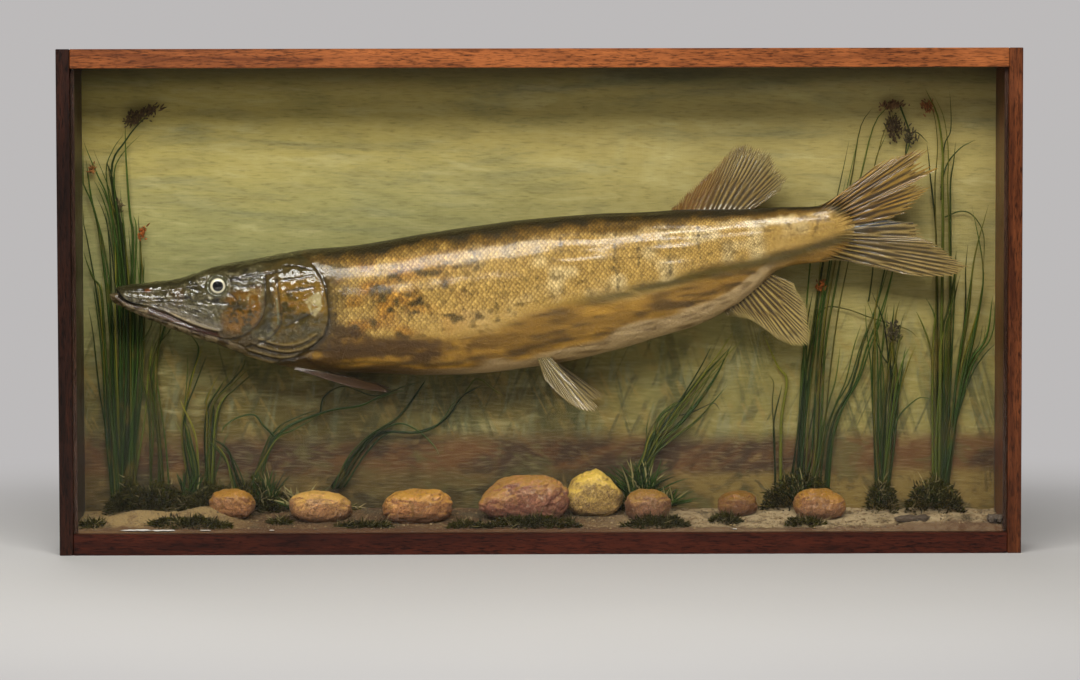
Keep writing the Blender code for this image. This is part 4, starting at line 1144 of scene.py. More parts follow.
SKULL_LINES = [mm(*line) for line in (
    ((150, 4), (173, 6), (213, 8.5)),
    ((218, 15), (235, 13), (250, 7.5)),
    ((217, -15.3), (232, -14.8), (250, -13)),
    ((216, -2), (234, -1), (252, 0.5)),
)]
THROAT_RAYS = [mm(*line) for line in (
    ((180, -70), (206, -79), (229, -78.5), (250, -69)),
    ((172, -76), (204, -86.5), (228, -86), (248, -79)),
    ((166, -82.5), (200, -94), (226, -93.5), (242, -88)),
    ((160, -88.5), (196, -101), (222, -101)),
)]
SNOUT_RIDGES = [mm(*line) for line in (
    ((14, 1), (45, -2.8), (80, -3), (112, 1)),
    ((22, -6), (50, -10.8), (78, -12), (104, -12)),
    ((40, -14), (70, -16), (98, -20), (124, -27)),
)]
BROW = mm((110, 7.5), (122, 10), (136, 11.2), (150, 9), (162, 5))
NOSTRILS = mm((101.8, 3.6), (108.5, 1.8))
EYE_FOLDS = [mm(*line) for line in (
    ((147, -12), (156, -20), (158, -30)),
    ((152, -2), (166, -6), (180, -5)),
    ((118, -18), (132, -23), (146, -25)),
    ((158, 3), (172, 1), (186, 4)),
)]
CHEEK = (0.166, -0.034)
JAW_SLOPE = math.radians(-24.0)
VARNISH_CRACKS = [mm(*line) for line in (
    ((499, 29.6), (497, 10), (496, -15)),
    ((620, 23.4), (617, -10), (619, -46.9)),
    ((571, 20), (577, 10), (585, 1)),
    ((647, 15), (646, -15.3), (648, -43.3)),
    ((553, 23), (554, 12), (552, 3)),
    ((721, 20), (719, -2), (722, -21.4)),
    ((682, 15), (684, -5), (683, -35)),
    ((448, 26), (446, 12), (448, -4)),
    ((402, 23), (404, 8), (401, -10)),
)]
# Ridges stand out of the skin and grooves run into it: height, width and line.
HEAD_LINES = ((0.0006, 0.0013, UPPER_JAW_EDGE), (-0.0007, 0.0011, UPPER_JAW[:5]), (-0.0026, 0.0019, LIP_FOLD),
              (-0.0019, 0.0014, CHEEK_GROOVE), (0.0013, 0.0030, BONE_RIDGE), (-0.0021, 0.0013, GILL_GROOVE),
              (0.0010, 0.0010, GILL_BONE), (-0.0011, 0.0016, GILL_CREASE), (0.0013, 0.0022, BROW),
              *((-0.0010, 0.0011, line) for line in SKULL_LINES),
              *((0.0014, 0.0019, line) for line in THROAT_RAYS),
              *((0.0008, 0.0016, line) for line in SNOUT_RIDGES),
              *((-0.0009, 0.0014, line) for line in EYE_FOLDS))


def jaw_streaks(x, z):
    """Long thin streaks of random value that run along the upper jaw bone."""
    c, s = math.cos(JAW_SLOPE), math.sin(JAW_SLOPE)
    along, across = c * x + s * z, c * z - s * x
    return (clouds(np.stack([along / 14, across, 0 * x], -1), 0.0014, 5)
            + 0.6 * clouds(np.stack([along / 9, across, 0 * x], -1), 0.0007, 9))


def gill_edge_at(z):
    """How far back the free edge of the gill cover lies at a level."""
    edge_x, edge_z = GILL_EDGE[::-1].T
    return np.interp(z, edge_z, edge_x)


def relief(x, y, z):
    """How far the skin stands out from the plain body: ridges and plates out, grooves and pits in."""
    side = ease(np.abs(y), 0.004, 0.012)
    from_edge = near(x, z, GILL_EDGE, 40) * np.where(x > gill_edge_at(z), 1, -1)
    from_eye = np.hypot(x - EYE[0], z - EYE[1])
    out = sum(height * stroke(x, z, line, width) for height, width, line in HEAD_LINES)
    out -= 0.0010 * sum(stroke(x, z + 0.0040, line, 0.0011) for line in THROAT_RAYS)
    out -= 0.0052 * stroke(x, z, MOUTH_GAP, 0.00125) * ease(x, 0.052, 0.040)
    out += 0.0006 * stroke(x, z, MOUTH_GAP, 0.0032) * ease(x, 0.050, 0.040)
    out += 0.0015 * inside(x, z, UPPER_JAW, 0.0008)
    out += 0.00045 * inside(x, z, UPPER_JAW, 0.0012) * jaw_streaks(x, z)
    out += (0.0007 * stroke(x, z - 0.0038, JAW_EDGE, 0.0022) - 0.0013 * stroke(x, z, JAW_EDGE, 0.0014)) * side
    out -= 0.0030 * sum(spot(x, z, nostril, 0.0014) for nostril in NOSTRILS) * side
    out += 0.0018 * spot(x, z, CHEEK, 0.017, 1.1)
    out -= 0.0050 * ease(from_eye, 0.0102, 0.0090)
    out += 0.0012 * bell(from_eye - 0.0122, 0.0015) - 0.0008 * bell(from_eye - 0.0160, 0.0014) * side
    flap = ease(from_edge, 0.0012, -0.0010) * ease(from_edge, -0.075, -0.012)
    flap *= ease(z, -0.102, -0.090) * ease(z, 0.020, 0.006)
    out += 0.0012 * flap * ease(x, 0.200, 0.215)
    behind = ease(from_edge, -0.0006, 0.0014) * np.exp(-np.maximum(from_edge, 0) / 0.014)
    out -= 0.0026 * behind * ease(z, 0.018, 0.004)
    at = np.stack([x, y, z], -1)
    fine = ease(x, 0.000, 0.020) * (0.00055 * clouds(at, 0.0062, 6) + 0.00042 * clouds(at, 0.0028, 7))
    wet = 0.00045 * np.abs(clouds(at * (1, 1, 1.6), 0.0075, 8)) * ease(x, 0.190, 0.150)
    return (out + fine - wet) * ease(x, 0.292, 0.262)


def painted(base, *coats):
    """A colour with coats laid over it in turn, each by its own share at each point."""
    colour = np.asarray(base, float)
    for paint, share in coats:
        colour = colour + (np.asarray(paint) - colour) * share[..., None]
    return colour


# Where the gold of the flank ends and where the olive stripe runs: distance, then level.
GOLD_FOOT = ((0.262, 0.285, 0.323, 0.403, 0.459, 0.550, 0.641, 0.743, 0.817, 0.903),
             (-0.0480, -0.0620, -0.0800, -0.0875, -0.0825, -0.0559, -0.0500, -0.0304, -0.0206, -0.0070))
STRIPE_LEVEL = ((0.595, 0.664, 0.742, 0.828, 0.902), (-0.0560, -0.0450, -0.0350, -0.0230, -0.0080))


def markings(points):
    """The painted pattern, the same for skin, scales and fin roots, from the place on the body:
    dark back, golden flank with dark dapples, orange cheek, olive stripe behind, pale belly
    darkened at the front as painted shade; the head adds its own painted light."""
    x, _, z = np.moveaxis(points, -1, 0)
    back, belly = np.moveaxis(through(STATIONS, x), -1, 0)[:2]
    high = (z - belly) / (back - belly)
    wide, middle, small = (clouds(points * (1, 1, 1.3), size, 20 + i)
                           for i, size in enumerate((0.050, 0.019, 0.0075)))
    long_streak = clouds(points * (0.16, 1, 1.0), 0.0042, 25)
    long_patch = clouds(points * (0.30, 1, 1.0), 0.013, 26)
    dapple = ease(small + 0.7 * middle, 0.20, 0.75) * ease(high, 0.96, 0.70)
    freckle = ease(clouds(points, 0.0036, 28) + 0.5 * small, 0.30, 0.75) * ease(high, 0.30, 0.50)
    nape = ease(x, 0.325, 0.275) * ease(high, 0.45, 0.70)
    flank = painted(
        (0.500, 0.310, 0.075),
        ((0.740, 0.550, 0.240), ease(middle + 0.5 * wide, -0.3, 0.7) * ease(x, 0.34, 0.62)),
        ((0.380, 0.165, 0.014), ease(x, 0.50, 0.32) * ease(middle + 0.5 * wide, -0.4, 0.5) * 0.85),
        ((0.095, 0.058, 0.010), dapple * (0.80 * ease(x, 0.66, 0.36) + 0.26)),
        ((0.150, 0.090, 0.018), 0.60 * freckle),
        ((0.090, 0.062, 0.014), nape * ease(small + 0.4 * middle, 0.5, -0.5) * 0.85))
    low = painted(
        (0.260, 0.135, 0.018),
        ((0.440, 0.230, 0.028), ease(long_patch, -0.1, 0.6)),
        ((0.080, 0.042, 0.006), ease(long_streak - 0.7 * long_patch, 0.0, 0.8) * 0.85),
        ((0.072, 0.034, 0.006), ease(x, 0.52, 0.38) * ease(long_patch + 0.6 * small, 0.9, -0.3) * 0.90))
    # painted shade: the belly darkens towards the front, under the deep body
    belly_and_shade = painted((0.480, 0.335, 0.155), ((0.240, 0.155, 0.062), ease(long_streak, -0.1, 0.7)),
                           ((0.100, 0.056, 0.018), ease(x, 0.48, 0.34)))
    gold_foot = np.interp(x, *GOLD_FOOT)
    below_gold = ease(z + 0.007 * wide + 0.004 * long_patch, gold_foot + 0.008, gold_foot - 0.009)
    belly_edge = 0.065 + 0.115 * ease(x, 0.45, 0.70) + 0.05 * ease(x, 0.75, 0.80)
    pale = ease(high + 0.03 * long_patch + 0.012 * long_streak, belly_edge + 0.018, belly_edge - 0.018)
    pale *= ease(x, 0.840, 0.790)
    outline = bell(high - belly_edge - 0.02, 0.03) * ease(long_streak + 0.5 * long_patch, -0.1, 0.6)
    from_stripe = z + 0.0030 * long_patch - np.interp(x, *STRIPE_LEVEL)
    stripe = bell(from_stripe, 0.0070) * ease(x, 0.500, 0.63)
    cracks = [stroke(x + 0.0030 * small, z, line, 0.0012) * ease(small + middle, -1.2, 0.0)
              for line in VARNISH_CRACKS]
    trunk = painted(
        flank,
        (low, below_gold),
        ((0.070, 0.040, 0.010), outline * 0.8),
        (belly_and_shade, pale),
        ((0.075, 0.054, 0.007), 0.92 * stripe * ease(long_streak, 1.3, 0.2)),
        ((0.165, 0.088, 0.010), ease(high + 0.040 * middle + 0.02 * small, 0.83, 0.90)),
        ((0.022, 0.016, 0.003), ease(high + 0.03 * middle + 0.02 * small, 0.89, 0.955)),
        *(((0.045, 0.032, 0.012), 0.92 * crack) for crack in cracks))
    return head_markings(points, trunk, middle, small)


CHEEK_PATCH = mm((146, -14), (170, -10), (190, -12), (189, -36), (174, -56), (152, -65), (138, -54))
PALE_PATCH = mm((240, -29), (248, -24), (258, -20), (260, -33), (257, -41), (248.5, -47.5), (244, -40))
TAIL_KNUCKLE = (0.915, 0.006)       # where the rays of the tail fin spring


def head_markings(points, trunk, middle, small):
    """The head's colours, worked from the bones: olive crown, mottled snout, orange cheek
    and gill cover with a pale patch, bone-pale jaw edge over a dark red fold, tan lower jaw;
    and painted light: highlights on the throat rays, and shade in the mouth, grooves, nostrils,
    socket, throat and on the trunk behind the gill cover."""
    x, _, z = np.moveaxis(points, -1, 0)
    tiny = clouds(points, 0.0030, 27)
    back = through(STATIONS, x)[..., 0]
    dark_spot = spot(x, z, (0.157, -0.046), 0.0065, 1.3) * ease(small + tiny, -0.9, 0.3)
    pale_spot = spot(x, z, (0.178, -0.015), 0.0085, 1.6) * ease(small + tiny, -0.5, 0.5)
    warm_spot = spot(x, z, (0.226, -0.030), 0.013, 1.4) * ease(small + 0.5 * tiny, 0.4, -0.4)
    cheek = painted((0.250, 0.110, 0.008),
                    ((0.060, 0.038, 0.004), ease(small + 0.7 * tiny - 0.5 * middle, -0.05, 0.7)),
                    ((0.036, 0.026, 0.005), dark_spot * 0.8), ((0.560, 0.410, 0.160), pale_spot))
    cover = painted((0.300, 0.165, 0.018), ((0.070, 0.048, 0.006), ease(small + middle * 0.6, -0.1, 0.6)),
                    ((0.290, 0.130, 0.009), warm_spot))
    plate = ease(x + 0.10 * (z + 0.03), 0.192, 0.206)
    patch = inside(x + 0.0012 * small, z + 0.0012 * tiny, PALE_PATCH, 0.0012)
    gap_level = np.interp(x, *np.concatenate([MOUTH_GAP, LIP_FOLD[1:], mm((160, -78))]).T)
    jaw = ease(z, gap_level - 0.0005, gap_level - 0.0022) * ease(x, 0.175, 0.140)
    jaw_skin = painted((0.330, 0.240, 0.120), ((0.070, 0.040, 0.012), ease(small + 0.5 * tiny, -0.4, 0.5)))
    grain = 1.6 * jaw_streaks(x, z)
    blade = inside(x, z, UPPER_JAW, 0.0022) * (0.25 + 0.75 * stroke(x, z, UPPER_JAW_EDGE, 0.0085))
    blade_skin = painted((0.230, 0.190, 0.115), ((0.022, 0.016, 0.008), ease(grain + 0.5 * small, -0.3, 0.5)))
    pale_edge = stroke(x, z - 0.0045, UPPER_JAW_EDGE, 0.0040) * ease(grain, 0.0, 0.7)
    pale_rim = stroke(x, z - 0.0002, UPPER_JAW_EDGE, 0.0013) * 0.92
    grooves = sum(stroke(x, z, line, 0.0012)
                  for line in [CHEEK_GROOVE, GILL_GROOVE, GILL_CREASE] + SKULL_LINES + EYE_FOLDS)
    # painted highlight along the crest of each throat ray, and painted shade in the groove below it
    rays = [coat for line in THROAT_RAYS
            for coat in (((0.330, 0.230, 0.075), stroke(x, z, line, 0.0011) * 0.8),
                         ((0.024, 0.015, 0.004), stroke(x, z + 0.0040, line, 0.0014) * 0.75))]
    from_eye = np.hypot(x - EYE[0], z - EYE[1])
    from_edge = x - gill_edge_at(z)
    torn_rim = bell(from_edge + 0.0016, 0.0010) * ease(z, -0.050, -0.035) * ease(z, 0.014, 0.004)
    head = painted(
        (0.090, 0.074, 0.026),
        ((0.260, 0.225, 0.120), ease(0.6 * small + tiny, 0.10, 0.9)),
        ((0.024, 0.018, 0.006), ease(small + 0.6 * tiny, -0.15, -0.8)),
        ((0.110, 0.052, 0.009), ease(middle, 0.30, 0.85) * ease(x, 0.145, 0.12) * 0.6),
        (cheek, inside(x, z, CHEEK_PATCH, 0.010)),
        (cover, plate),
        ((0.070, 0.056, 0.016), plate * ease(z + 0.004 * small, -0.010, 0.006) * 0.85),
        ((0.085, 0.062, 0.013), plate * ease(z + 0.005 * small, -0.040, -0.052) * 0.75),
        ((0.052, 0.040, 0.011), stroke(x, z, BONE_RIDGE, 0.0055) * 0.8),
        ((0.700, 0.580, 0.270), (0.82 + 0.2 * tiny) * patch * ease(small + 0.5 * tiny, -1.1, -0.2)),
        # the underside of the head turns a darker olive brown, partly its colour and partly painted shade
        ((0.085, 0.050, 0.008), ease(z + 0.3 * (x - 0.20), -0.070, -0.082) * 0.9),
        *rays,
        ((0.034, 0.029, 0.008), ease(z - back + 0.004 * middle, -0.0105, -0.0050)),
        (jaw_skin, jaw),
        (blade_skin, blade),
        ((0.520, 0.440, 0.330), pale_edge * ease(x, 0.060, 0.085) * 0.9),
        ((0.560, 0.430, 0.240), pale_rim * ease(x + 0.012 * small, 0.058, 0.080)),
        # the dark red fold under the upper jaw, darkened further as painted shade in its groove
        ((0.052, 0.011, 0.004), stroke(x, z + 0.0018, LIP_FOLD, 0.0034) * 0.96),
        ((0.330, 0.075, 0.008), spot(x, z, (0.049, -0.0015), 0.0020, 2.2) * ease(tiny, -0.6, 0.2) * 0.75),
        # painted shade: near black in the gap between the jaws
        ((0.006, 0.004, 0.003), stroke(x, z, MOUTH_GAP, 0.0027) * ease(x, 0.044, 0.030)),
        # painted shade: the grooves and folds of the head are darkened
        ((0.020, 0.014, 0.006), np.clip(grooves, 0, 1) * 0.85),
        ((0.240, 0.260, 0.160), stroke(x, z, GILL_BONE, 0.0012) * 0.8),
        ((0.090, 0.088, 0.034), ease(from_eye, 0.0145, 0.0125) * 0.85),
        # painted shade in the sunken socket round the eye
        ((0.014, 0.011, 0.007), ease(from_eye, 0.0103, 0.0094)),
        # painted shade: near black in the nostril pits
        *(((0.006, 0.005, 0.003), spot(x, z, nostril, 0.0018)) for nostril in NOSTRILS),
        ((0.180, 0.180, 0.130), torn_rim * ease(tiny, -0.8, 0.2) * 0.6))
    # painted shade on the trunk under the free edge of the gill cover: a broad darkening that fades back over
    # about 17 mm, and a darker shadow close under the edge
    shadow = np.exp(-np.abs(from_edge - 0.001) / 0.0045) * 0.85
    trunk = painted(
        trunk,
        ((0.070, 0.048, 0.012), np.exp(-np.maximum(from_edge, 0) / 0.017) * (0.80 + 0.3 * small)),
        ((0.030, 0.020, 0.007), shadow * ease(z, 0.016, 0.008)))
    return painted(
        head,
        (trunk, ease(from_edge, -0.0008, 0.0008)),
        ((0.075, 0.062, 0.022), ease(x + 0.004 * small, 0.880, 0.895) * ease(z, 0.016, 0.028)),
        ((0.480, 0.350, 0.150), spot(x, z, TAIL_KNUCKLE, 0.009) * 0.8))


def skin_finish():
    """Oil paint under a thick old varnish: the painted pattern, fine grime in it, a wet gloss."""
    f = Finish("varnished_skin")
    hide = f.own_colour("hide")
    here = f.place()
    fine = f.noise(here, 900, 4, 0.65)
    drop = f.noise(here, 230, 4, 0.66, 0.5)
    colour = f.coats(hide, (f.mix(0.55, hide, (0.012, 0.008, 0.003)), f.between(fine, 0.45, 0.25)),
                     ((0.34, 0.28, 0.16), f.between(fine, 0.58, 0.80), 0.20))
    wrinkled = f.bump(drop, 0.0066, f.bump(fine, 0.0010))
    return f.done(colour, wrinkled, roughness=0.50, specular_ior_level=0.10,
                  coat_weight=0.90, coat_roughness=0.06, coat_ior=1.65)[0]


varnished_skin = skin_finish()
SKIN_COLUMNS = 288
HEAD_STEP = 0.00125


def outward(points):
    """The normal of a ringed surface: the cross product of its steps along and around, at length 1."""
    normal = np.cross(np.gradient(points, axis=0), np.roll(points, -1, 1) - np.roll(points, 1, 1))
    return normal / (np.linalg.norm(normal, axis=-1, keepdims=True) + 1e-12)


def skin_at(rings):
    """The plain body at each ring, at even shares of its girth counted from the belly, dented, with
    the tail's end drawn forward above and below as the square of the height off its middle; the
    shown skin, pushed out or in by the relief along its own normal; and that normal."""
    shares = np.arange(SKIN_COLUMNS) / SKIN_COLUMNS
    turns = np.array([turns_at(x, shares)[0] for x in rings])
    x = np.repeat(rings[:, None], SKIN_COLUMNS, 1)
    plain = body(x, turns, COAT_DEPTH * ease(rings, 0.225, 0.262)[:, None])
    end = TAIL_TIP - TAIL_HOLLOW * (plain[..., 2] - TAIL_LEVEL) ** 2
    drawn = TAIL_START + (x - TAIL_START) * (end - TAIL_START) / (SKIN_END - TAIL_START)
    plain[..., 0] = np.where(x > TAIL_START, drawn, x)
    normal = outward(plain)
    dents = clouds(plain * (0.35, 1, 1), 0.020, 31) * ease(x, 0.45, 0.62) + 0.9 * clouds(plain, 0.034, 32)
    folds = clouds(plain * (0.10, 1, 1), 0.0065, 33) * ease(x, 0.46, 0.62)
    depth = (0.00075 * dents + 0.00070 * folds) * ease(x, 0.28, 0.36) * ease(x, 0.915, 0.88)
    plain += normal * depth[..., None]
    normal = outward(plain)
    shown = plain + normal * relief(plain[..., 0], plain[..., 1], plain[..., 2])[..., None]
    return plain, shown, normal


def make_skin():
    """Rings close together on the head and wider on the trunk, joined to a point at each end."""
    nose_rings = NOSE_ROUND * (1 - np.cos(np.linspace(0, 1, 8)[1:] * np.pi / 2))
    head_rings = np.arange(NOSE_ROUND + HEAD_STEP, TRUNK_START, HEAD_STEP)
    trunk_rings = TRUNK_START + (SKIN_END - TAIL_ROUND - TRUNK_START) * np.linspace(0, 1, 101) ** 1.15
    tail_rings = SKIN_END - TAIL_ROUND * (1 - np.sin(np.linspace(0, 1, 8)[1:] * np.pi / 2))
    rings = np.concatenate([nose_rings, head_rings, trunk_rings, tail_rings[:-1]])
    plain, shown, _ = skin_at(rings)
    above_gap = ease(plain[..., 2], -0.0030 - 0.35 * plain[..., 0], -0.0005 - 0.35 * plain[..., 0])
    shown[..., 0] += 0.0060 * above_gap * np.exp(-(plain[..., 0] / 0.013) ** 2)
    nose, tail = body(np.array([0.0, SKIN_END]), np.array([0.0, 0.0]))
    last_ring = 1 + (len(rings) - 1) * SKIN_COLUMNS
    faces = [fan(0, 1, SKIN_COLUMNS), net(len(rings), SKIN_COLUMNS, True, 1)[:, ::-1],
             fan(last_ring + SKIN_COLUMNS, last_ring, SKIN_COLUMNS, True)]
    points = np.concatenate([[nose], shown.reshape(-1, 3), [tail]])
    made = piece("skin", into_case(points), faces, varnished_skin)
    tint(made, "hide", markings(np.concatenate([[nose], plain.reshape(-1, 3), [tail]])))
    return made


skin = make_skin()
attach(skin, "root")
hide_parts("head", "lower_jaw", "throat", "trunk_front", "trunk_middle", "trunk_rear", "tail_stalk",
            "gill_cover_left", "gill_cover_right")


# ------------------------------------------------------------ fish: scales
# Small round scales in oblique rows, each rooted in the skin with its rear edge free and
# lying over the next. Their edges are outlined in old paint, and the varnish runs over all.
SCALE_PITCH = 0.0045
SCALE_GIRTH = 0.29      # the girth at which the pitch holds
SCALES_AROUND = 66
SCALE_LIFT = 0.00022
SCALE_RIM = np.array([(0.00, -0.26), (0.00, 0.26), (0.42, 0.50), (0.88, 0.56), (1.22, 0.40), (1.42, 0.14),
                      (1.42, -0.14), (1.22, -0.40), (0.88, -0.56), (0.42, -0.50)])
RIM_POINTS = len(SCALE_RIM)
SCALE_POINTS = RIM_POINTS + 2
RIM_SHADE = np.array([0.70, 0.70, 0.80, 0.80, 0.56, 0.42, 0.42, 0.56, 0.80, 0.80, 1.25, 0.7])
# The scales begin behind this line: level, and distance from the jaw tip.
SCALES_START = np.array([(-0.140, 0.262), (-0.125, 0.262), (-0.097, 0.238), (-0.088, 0.249), (-0.072, 0.2635),
                         (-0.054, 0.269), (-0.037, 0.2695), (-0.013, 0.2675), (0.006, 0.2600),
                         (0.018, 0.2500), (0.030, 0.237), (0.060, 0.237)])
SCALES_FROM, SCALES_TO = 0.236, 0.919
NET_START, NET_END, NET_STEP = 0.225, 0.9262, 0.002
PAINTED_OVER = ((0.27, 0.55, 0.90), (-0.080, -0.045, 0.0))      # below this level thick paint hides them
COAT_PIECES = 3


def scale_finish():
    """The skin's paint and varnish again, on each scale."""
    f = Finish("varnished_scales")
    hide = f.own_colour("hide")
    here = f.place()
    fine = f.noise(here, 1300, 3, 0.65)
    colour = f.mix(f.between(fine, 0.44, 0.26), hide, f.mix(0.5, hide, (0.030, 0.020, 0.006)))
    dull = f.noise(f.place((0.6, 1, 1)), 60, 4, 0.65, 0.5)
    wrinkled = f.bump(f.noise(here, 330, 3, 0.6), 0.0008, f.bump(dull, 0.0045, f.bump(fine, 0.0005)))
    return f.done(colour, wrinkled, roughness=0.52, specular_ior_level=0.15,
                  coat_weight=0.54, coat_roughness=0.15)[0]


varnished_scales = scale_finish()


def scale_roots(rng):
    """Where the scales root: columns half a pitch apart, shifted half a scale in turn. Gives the
    distance from the jaw tip, the girth there and the share of it counted from the belly."""
    columns, x = [], SCALES_FROM
    while x < SCALES_TO:
        girth = turns_at(x, np.zeros(1))[1]
        columns.append((x, girth))
        x += 0.5 * SCALE_PITCH * (girth / SCALE_GIRTH) ** 0.6
    root_x, girth = np.repeat(columns, SCALES_AROUND, axis=0).T
    root_x = root_x + rng.normal(0, 0.00022, len(root_x))
    column = np.repeat(np.arange(len(columns)), SCALES_AROUND)
    row = np.tile(np.arange(SCALES_AROUND), len(columns)) + 0.5 * (column % 2)
    return root_x, girth, (row / SCALES_AROUND) % 1.0


def read_net(table, x, share):
    """A value of the fine net of rings at a distance from the jaw tip and a share of the girth,
    weighed between the four nearest points."""
    a = np.clip((x - NET_START) / NET_STEP, 0, len(table) - 1.001)
    b = (share % 1.0) * SKIN_COLUMNS
    i, j = a.astype(int), b.astype(int)
    s, t = (a - i)[..., None], (b - j)[..., None]
    k = (j + 1) % SKIN_COLUMNS
    j = j % SKIN_COLUMNS
    return ((table[i, j] * (1 - t) + table[i, k] * t) * (1 - s)
            + (table[i + 1, j] * (1 - t) + table[i + 1, k] * t) * s)


def make_scales():
    """A scale is a rim of ten points round a raised middle over a hollow one, bent to the skin by
    reading a fine net of its places and normals; its root is sunk and its free edge lifted."""
    rng = np.random.default_rng(71)
    _, skin_net, skin_normals = skin_at(np.arange(NET_START, NET_END, NET_STEP))
    root_x, girth, share = scale_roots(rng)
    level = read_net(skin_net, root_x, share)[:, 2]
    kept = root_x > np.interp(level, *SCALES_START.T) + rng.uniform(-0.0012, 0.0012, len(root_x))
    root_x, girth, share, level = root_x[kept], girth[kept], share[kept], level[kept]
    total = len(root_x)
    jitter = rng.normal(0, 1, (total, 4))
    long = SCALE_PITCH * (girth / SCALE_GIRTH) ** 0.6 * (1 + 0.05 * jitter[:, 0])
    wide = girth / SCALES_AROUND * (1.06 + 0.04 * jitter[:, 1])
    local = np.concatenate([SCALE_RIM, [(0.80, 0.0), (0.70, 0.0)]])
    at_x = root_x[:, None] + long[:, None] * (local[:, 0] - 0.1 + 0.05 * jitter[:, 2:3])
    tilt = 0.05 * jitter[:, 3:4] * (local[:, 0] - 0.5)
    at_share = share[:, None] + wide[:, None] / girth[:, None] * (local[:, 1] + tilt)
    paint_level = np.interp(root_x, *PAINTED_OVER)
    painted_over = ease(level, paint_level + 0.01, paint_level - 0.02)
    lift = SCALE_LIFT * (1 + 0.20 * jitter[:, 2]) * (1 - 0.45 * painted_over)
    lift *= ease(root_x, 0.925, 0.880) * 0.5 + 0.5
    rise = np.interp(SCALE_RIM[:, 0], (0, 0.9, 1.42), (-0.65, 0.55, 1.0))
    height = np.concatenate([rise - 0.25 * np.abs(SCALE_RIM[:, 1]), [0.72, 0.15]])
    plain = read_net(skin_net, at_x, at_share)
    points = plain + read_net(skin_normals, at_x, at_share) * (height * lift[:, None])[..., None]
    lens = np.concatenate([fan(RIM_POINTS, 0, RIM_POINTS), fan(RIM_POINTS + 1, 0, RIM_POINTS, True)])
    quiet = 1 - 0.75 * painted_over
    front = ease(root_x, 0.52, 0.34)
    tone = np.exp((0.11 + 0.10 * front) * rng.normal(0, 1, total) * quiet)
    rim_shade = 1 - (1 - RIM_SHADE)[None, :] * quiet[:, None]
    middles = read_net(skin_net, root_x + 0.5 * long, share)
    dots = 0.85 * (rng.uniform(0, 1, total) < 0.45 + 0.25 * front) * quiet
    dots = dots * (0.3 + 0.7 * ease(clouds(middles, 0.02, 74), -0.6, 0.5))
    corner = rng.integers(2, 9, total)
    dark = np.zeros((total, SCALE_POINTS))
    dark[np.arange(total), corner] = dots
    dark[np.arange(total), corner + 1] = 0.7 * dots
    shade = rim_shade * tone[:, None] * (1 - 0.88 * dark)
    hides = markings(plain) * shade[:, :, None] ** np.array([0.9, 1.0, 1.15])
    on_unwrap = (np.stack([(root_x - 0.2) / 0.75, share], -1)[:, None, :]
                 + (local - (0.7, 0.0)) * 0.0010)
    parts = np.linspace(0, total, COAT_PIECES + 1).astype(int)
    for number, (first, last) in enumerate(zip(parts[:-1], parts[1:]), 1):
        faces = SCALE_POINTS * np.arange(last - first)[:, None, None] + lens
        made = piece(f"scales_{number}", into_case(points[first:last]), [faces], varnished_scales)
        tint(made, "hide", hides[first:last].reshape(-1, 3))
        ends = np.empty(2 * len(made.data.edges), int)
        made.data.edges.foreach_get("vertices", ends)
        on_rim = (ends.reshape(-1, 2) % SCALE_POINTS < RIM_POINTS).all(axis=1)
        made.data.attributes.new("sharp_edge", "BOOLEAN", "EDGE").data.foreach_set("value", on_rim)
        used = np.empty(len(made.data.loops), int)
        made.data.loops.foreach_get("vertex_index", used)
        unwrap = made.data.uv_layers.new(name="OFBake")
        unwrap.data.foreach_set("uv", on_unwrap[first:last].reshape(-1, 2)[used].ravel())
        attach(made, "root")


make_scales()


# ------------------------------------------------------------ fish: eyes
# Blown glass eyes, painted on the back: a black pupil, a narrow cream ring round it and a
# dark rim. They sit deep in the sockets, with the painted lid drawn close round each.
EYE_RADIUS = 0.0099
EYE_HEIGHT = 0.0042
EYE_SINK = 0.0046
EYE_BACK = 0.0015
EYE_RINGS, EYE_SIDES = 26, 64
PUPIL = 0.0063


def eye_finish():
    """Clear glass over painted rings, made as a glossy coat on the colour."""
    f = Finish("painted_glass_eye")
    rings = f.own_colour("hide")
    speck = f.noise(f.place(), 1500, 3, 0.6)
    aged = f.mix(0.8, rings, (0.75, 0.68, 0.50), "MULTIPLY")
    colour = f.coats(rings, (aged, f.between(speck, 0.42, 0.62), 0.5))
    return f.done(colour, None, roughness=0.30, specular_ior_level=0.05,
                  coat_weight=1.0, coat_roughness=0.02, coat_ior=1.6)[0]


painted_glass = eye_finish()


def flank_at(place):
    """Half width of the plain body at a place in side view."""
    turn = np.linspace(-np.pi / 2, np.pi / 2, TURN_STEPS)
    half_ring = body(np.full(TURN_STEPS, place[0]), turn)
    return float(np.interp(place[1], half_ring[:, 2], half_ring[:, 1]))


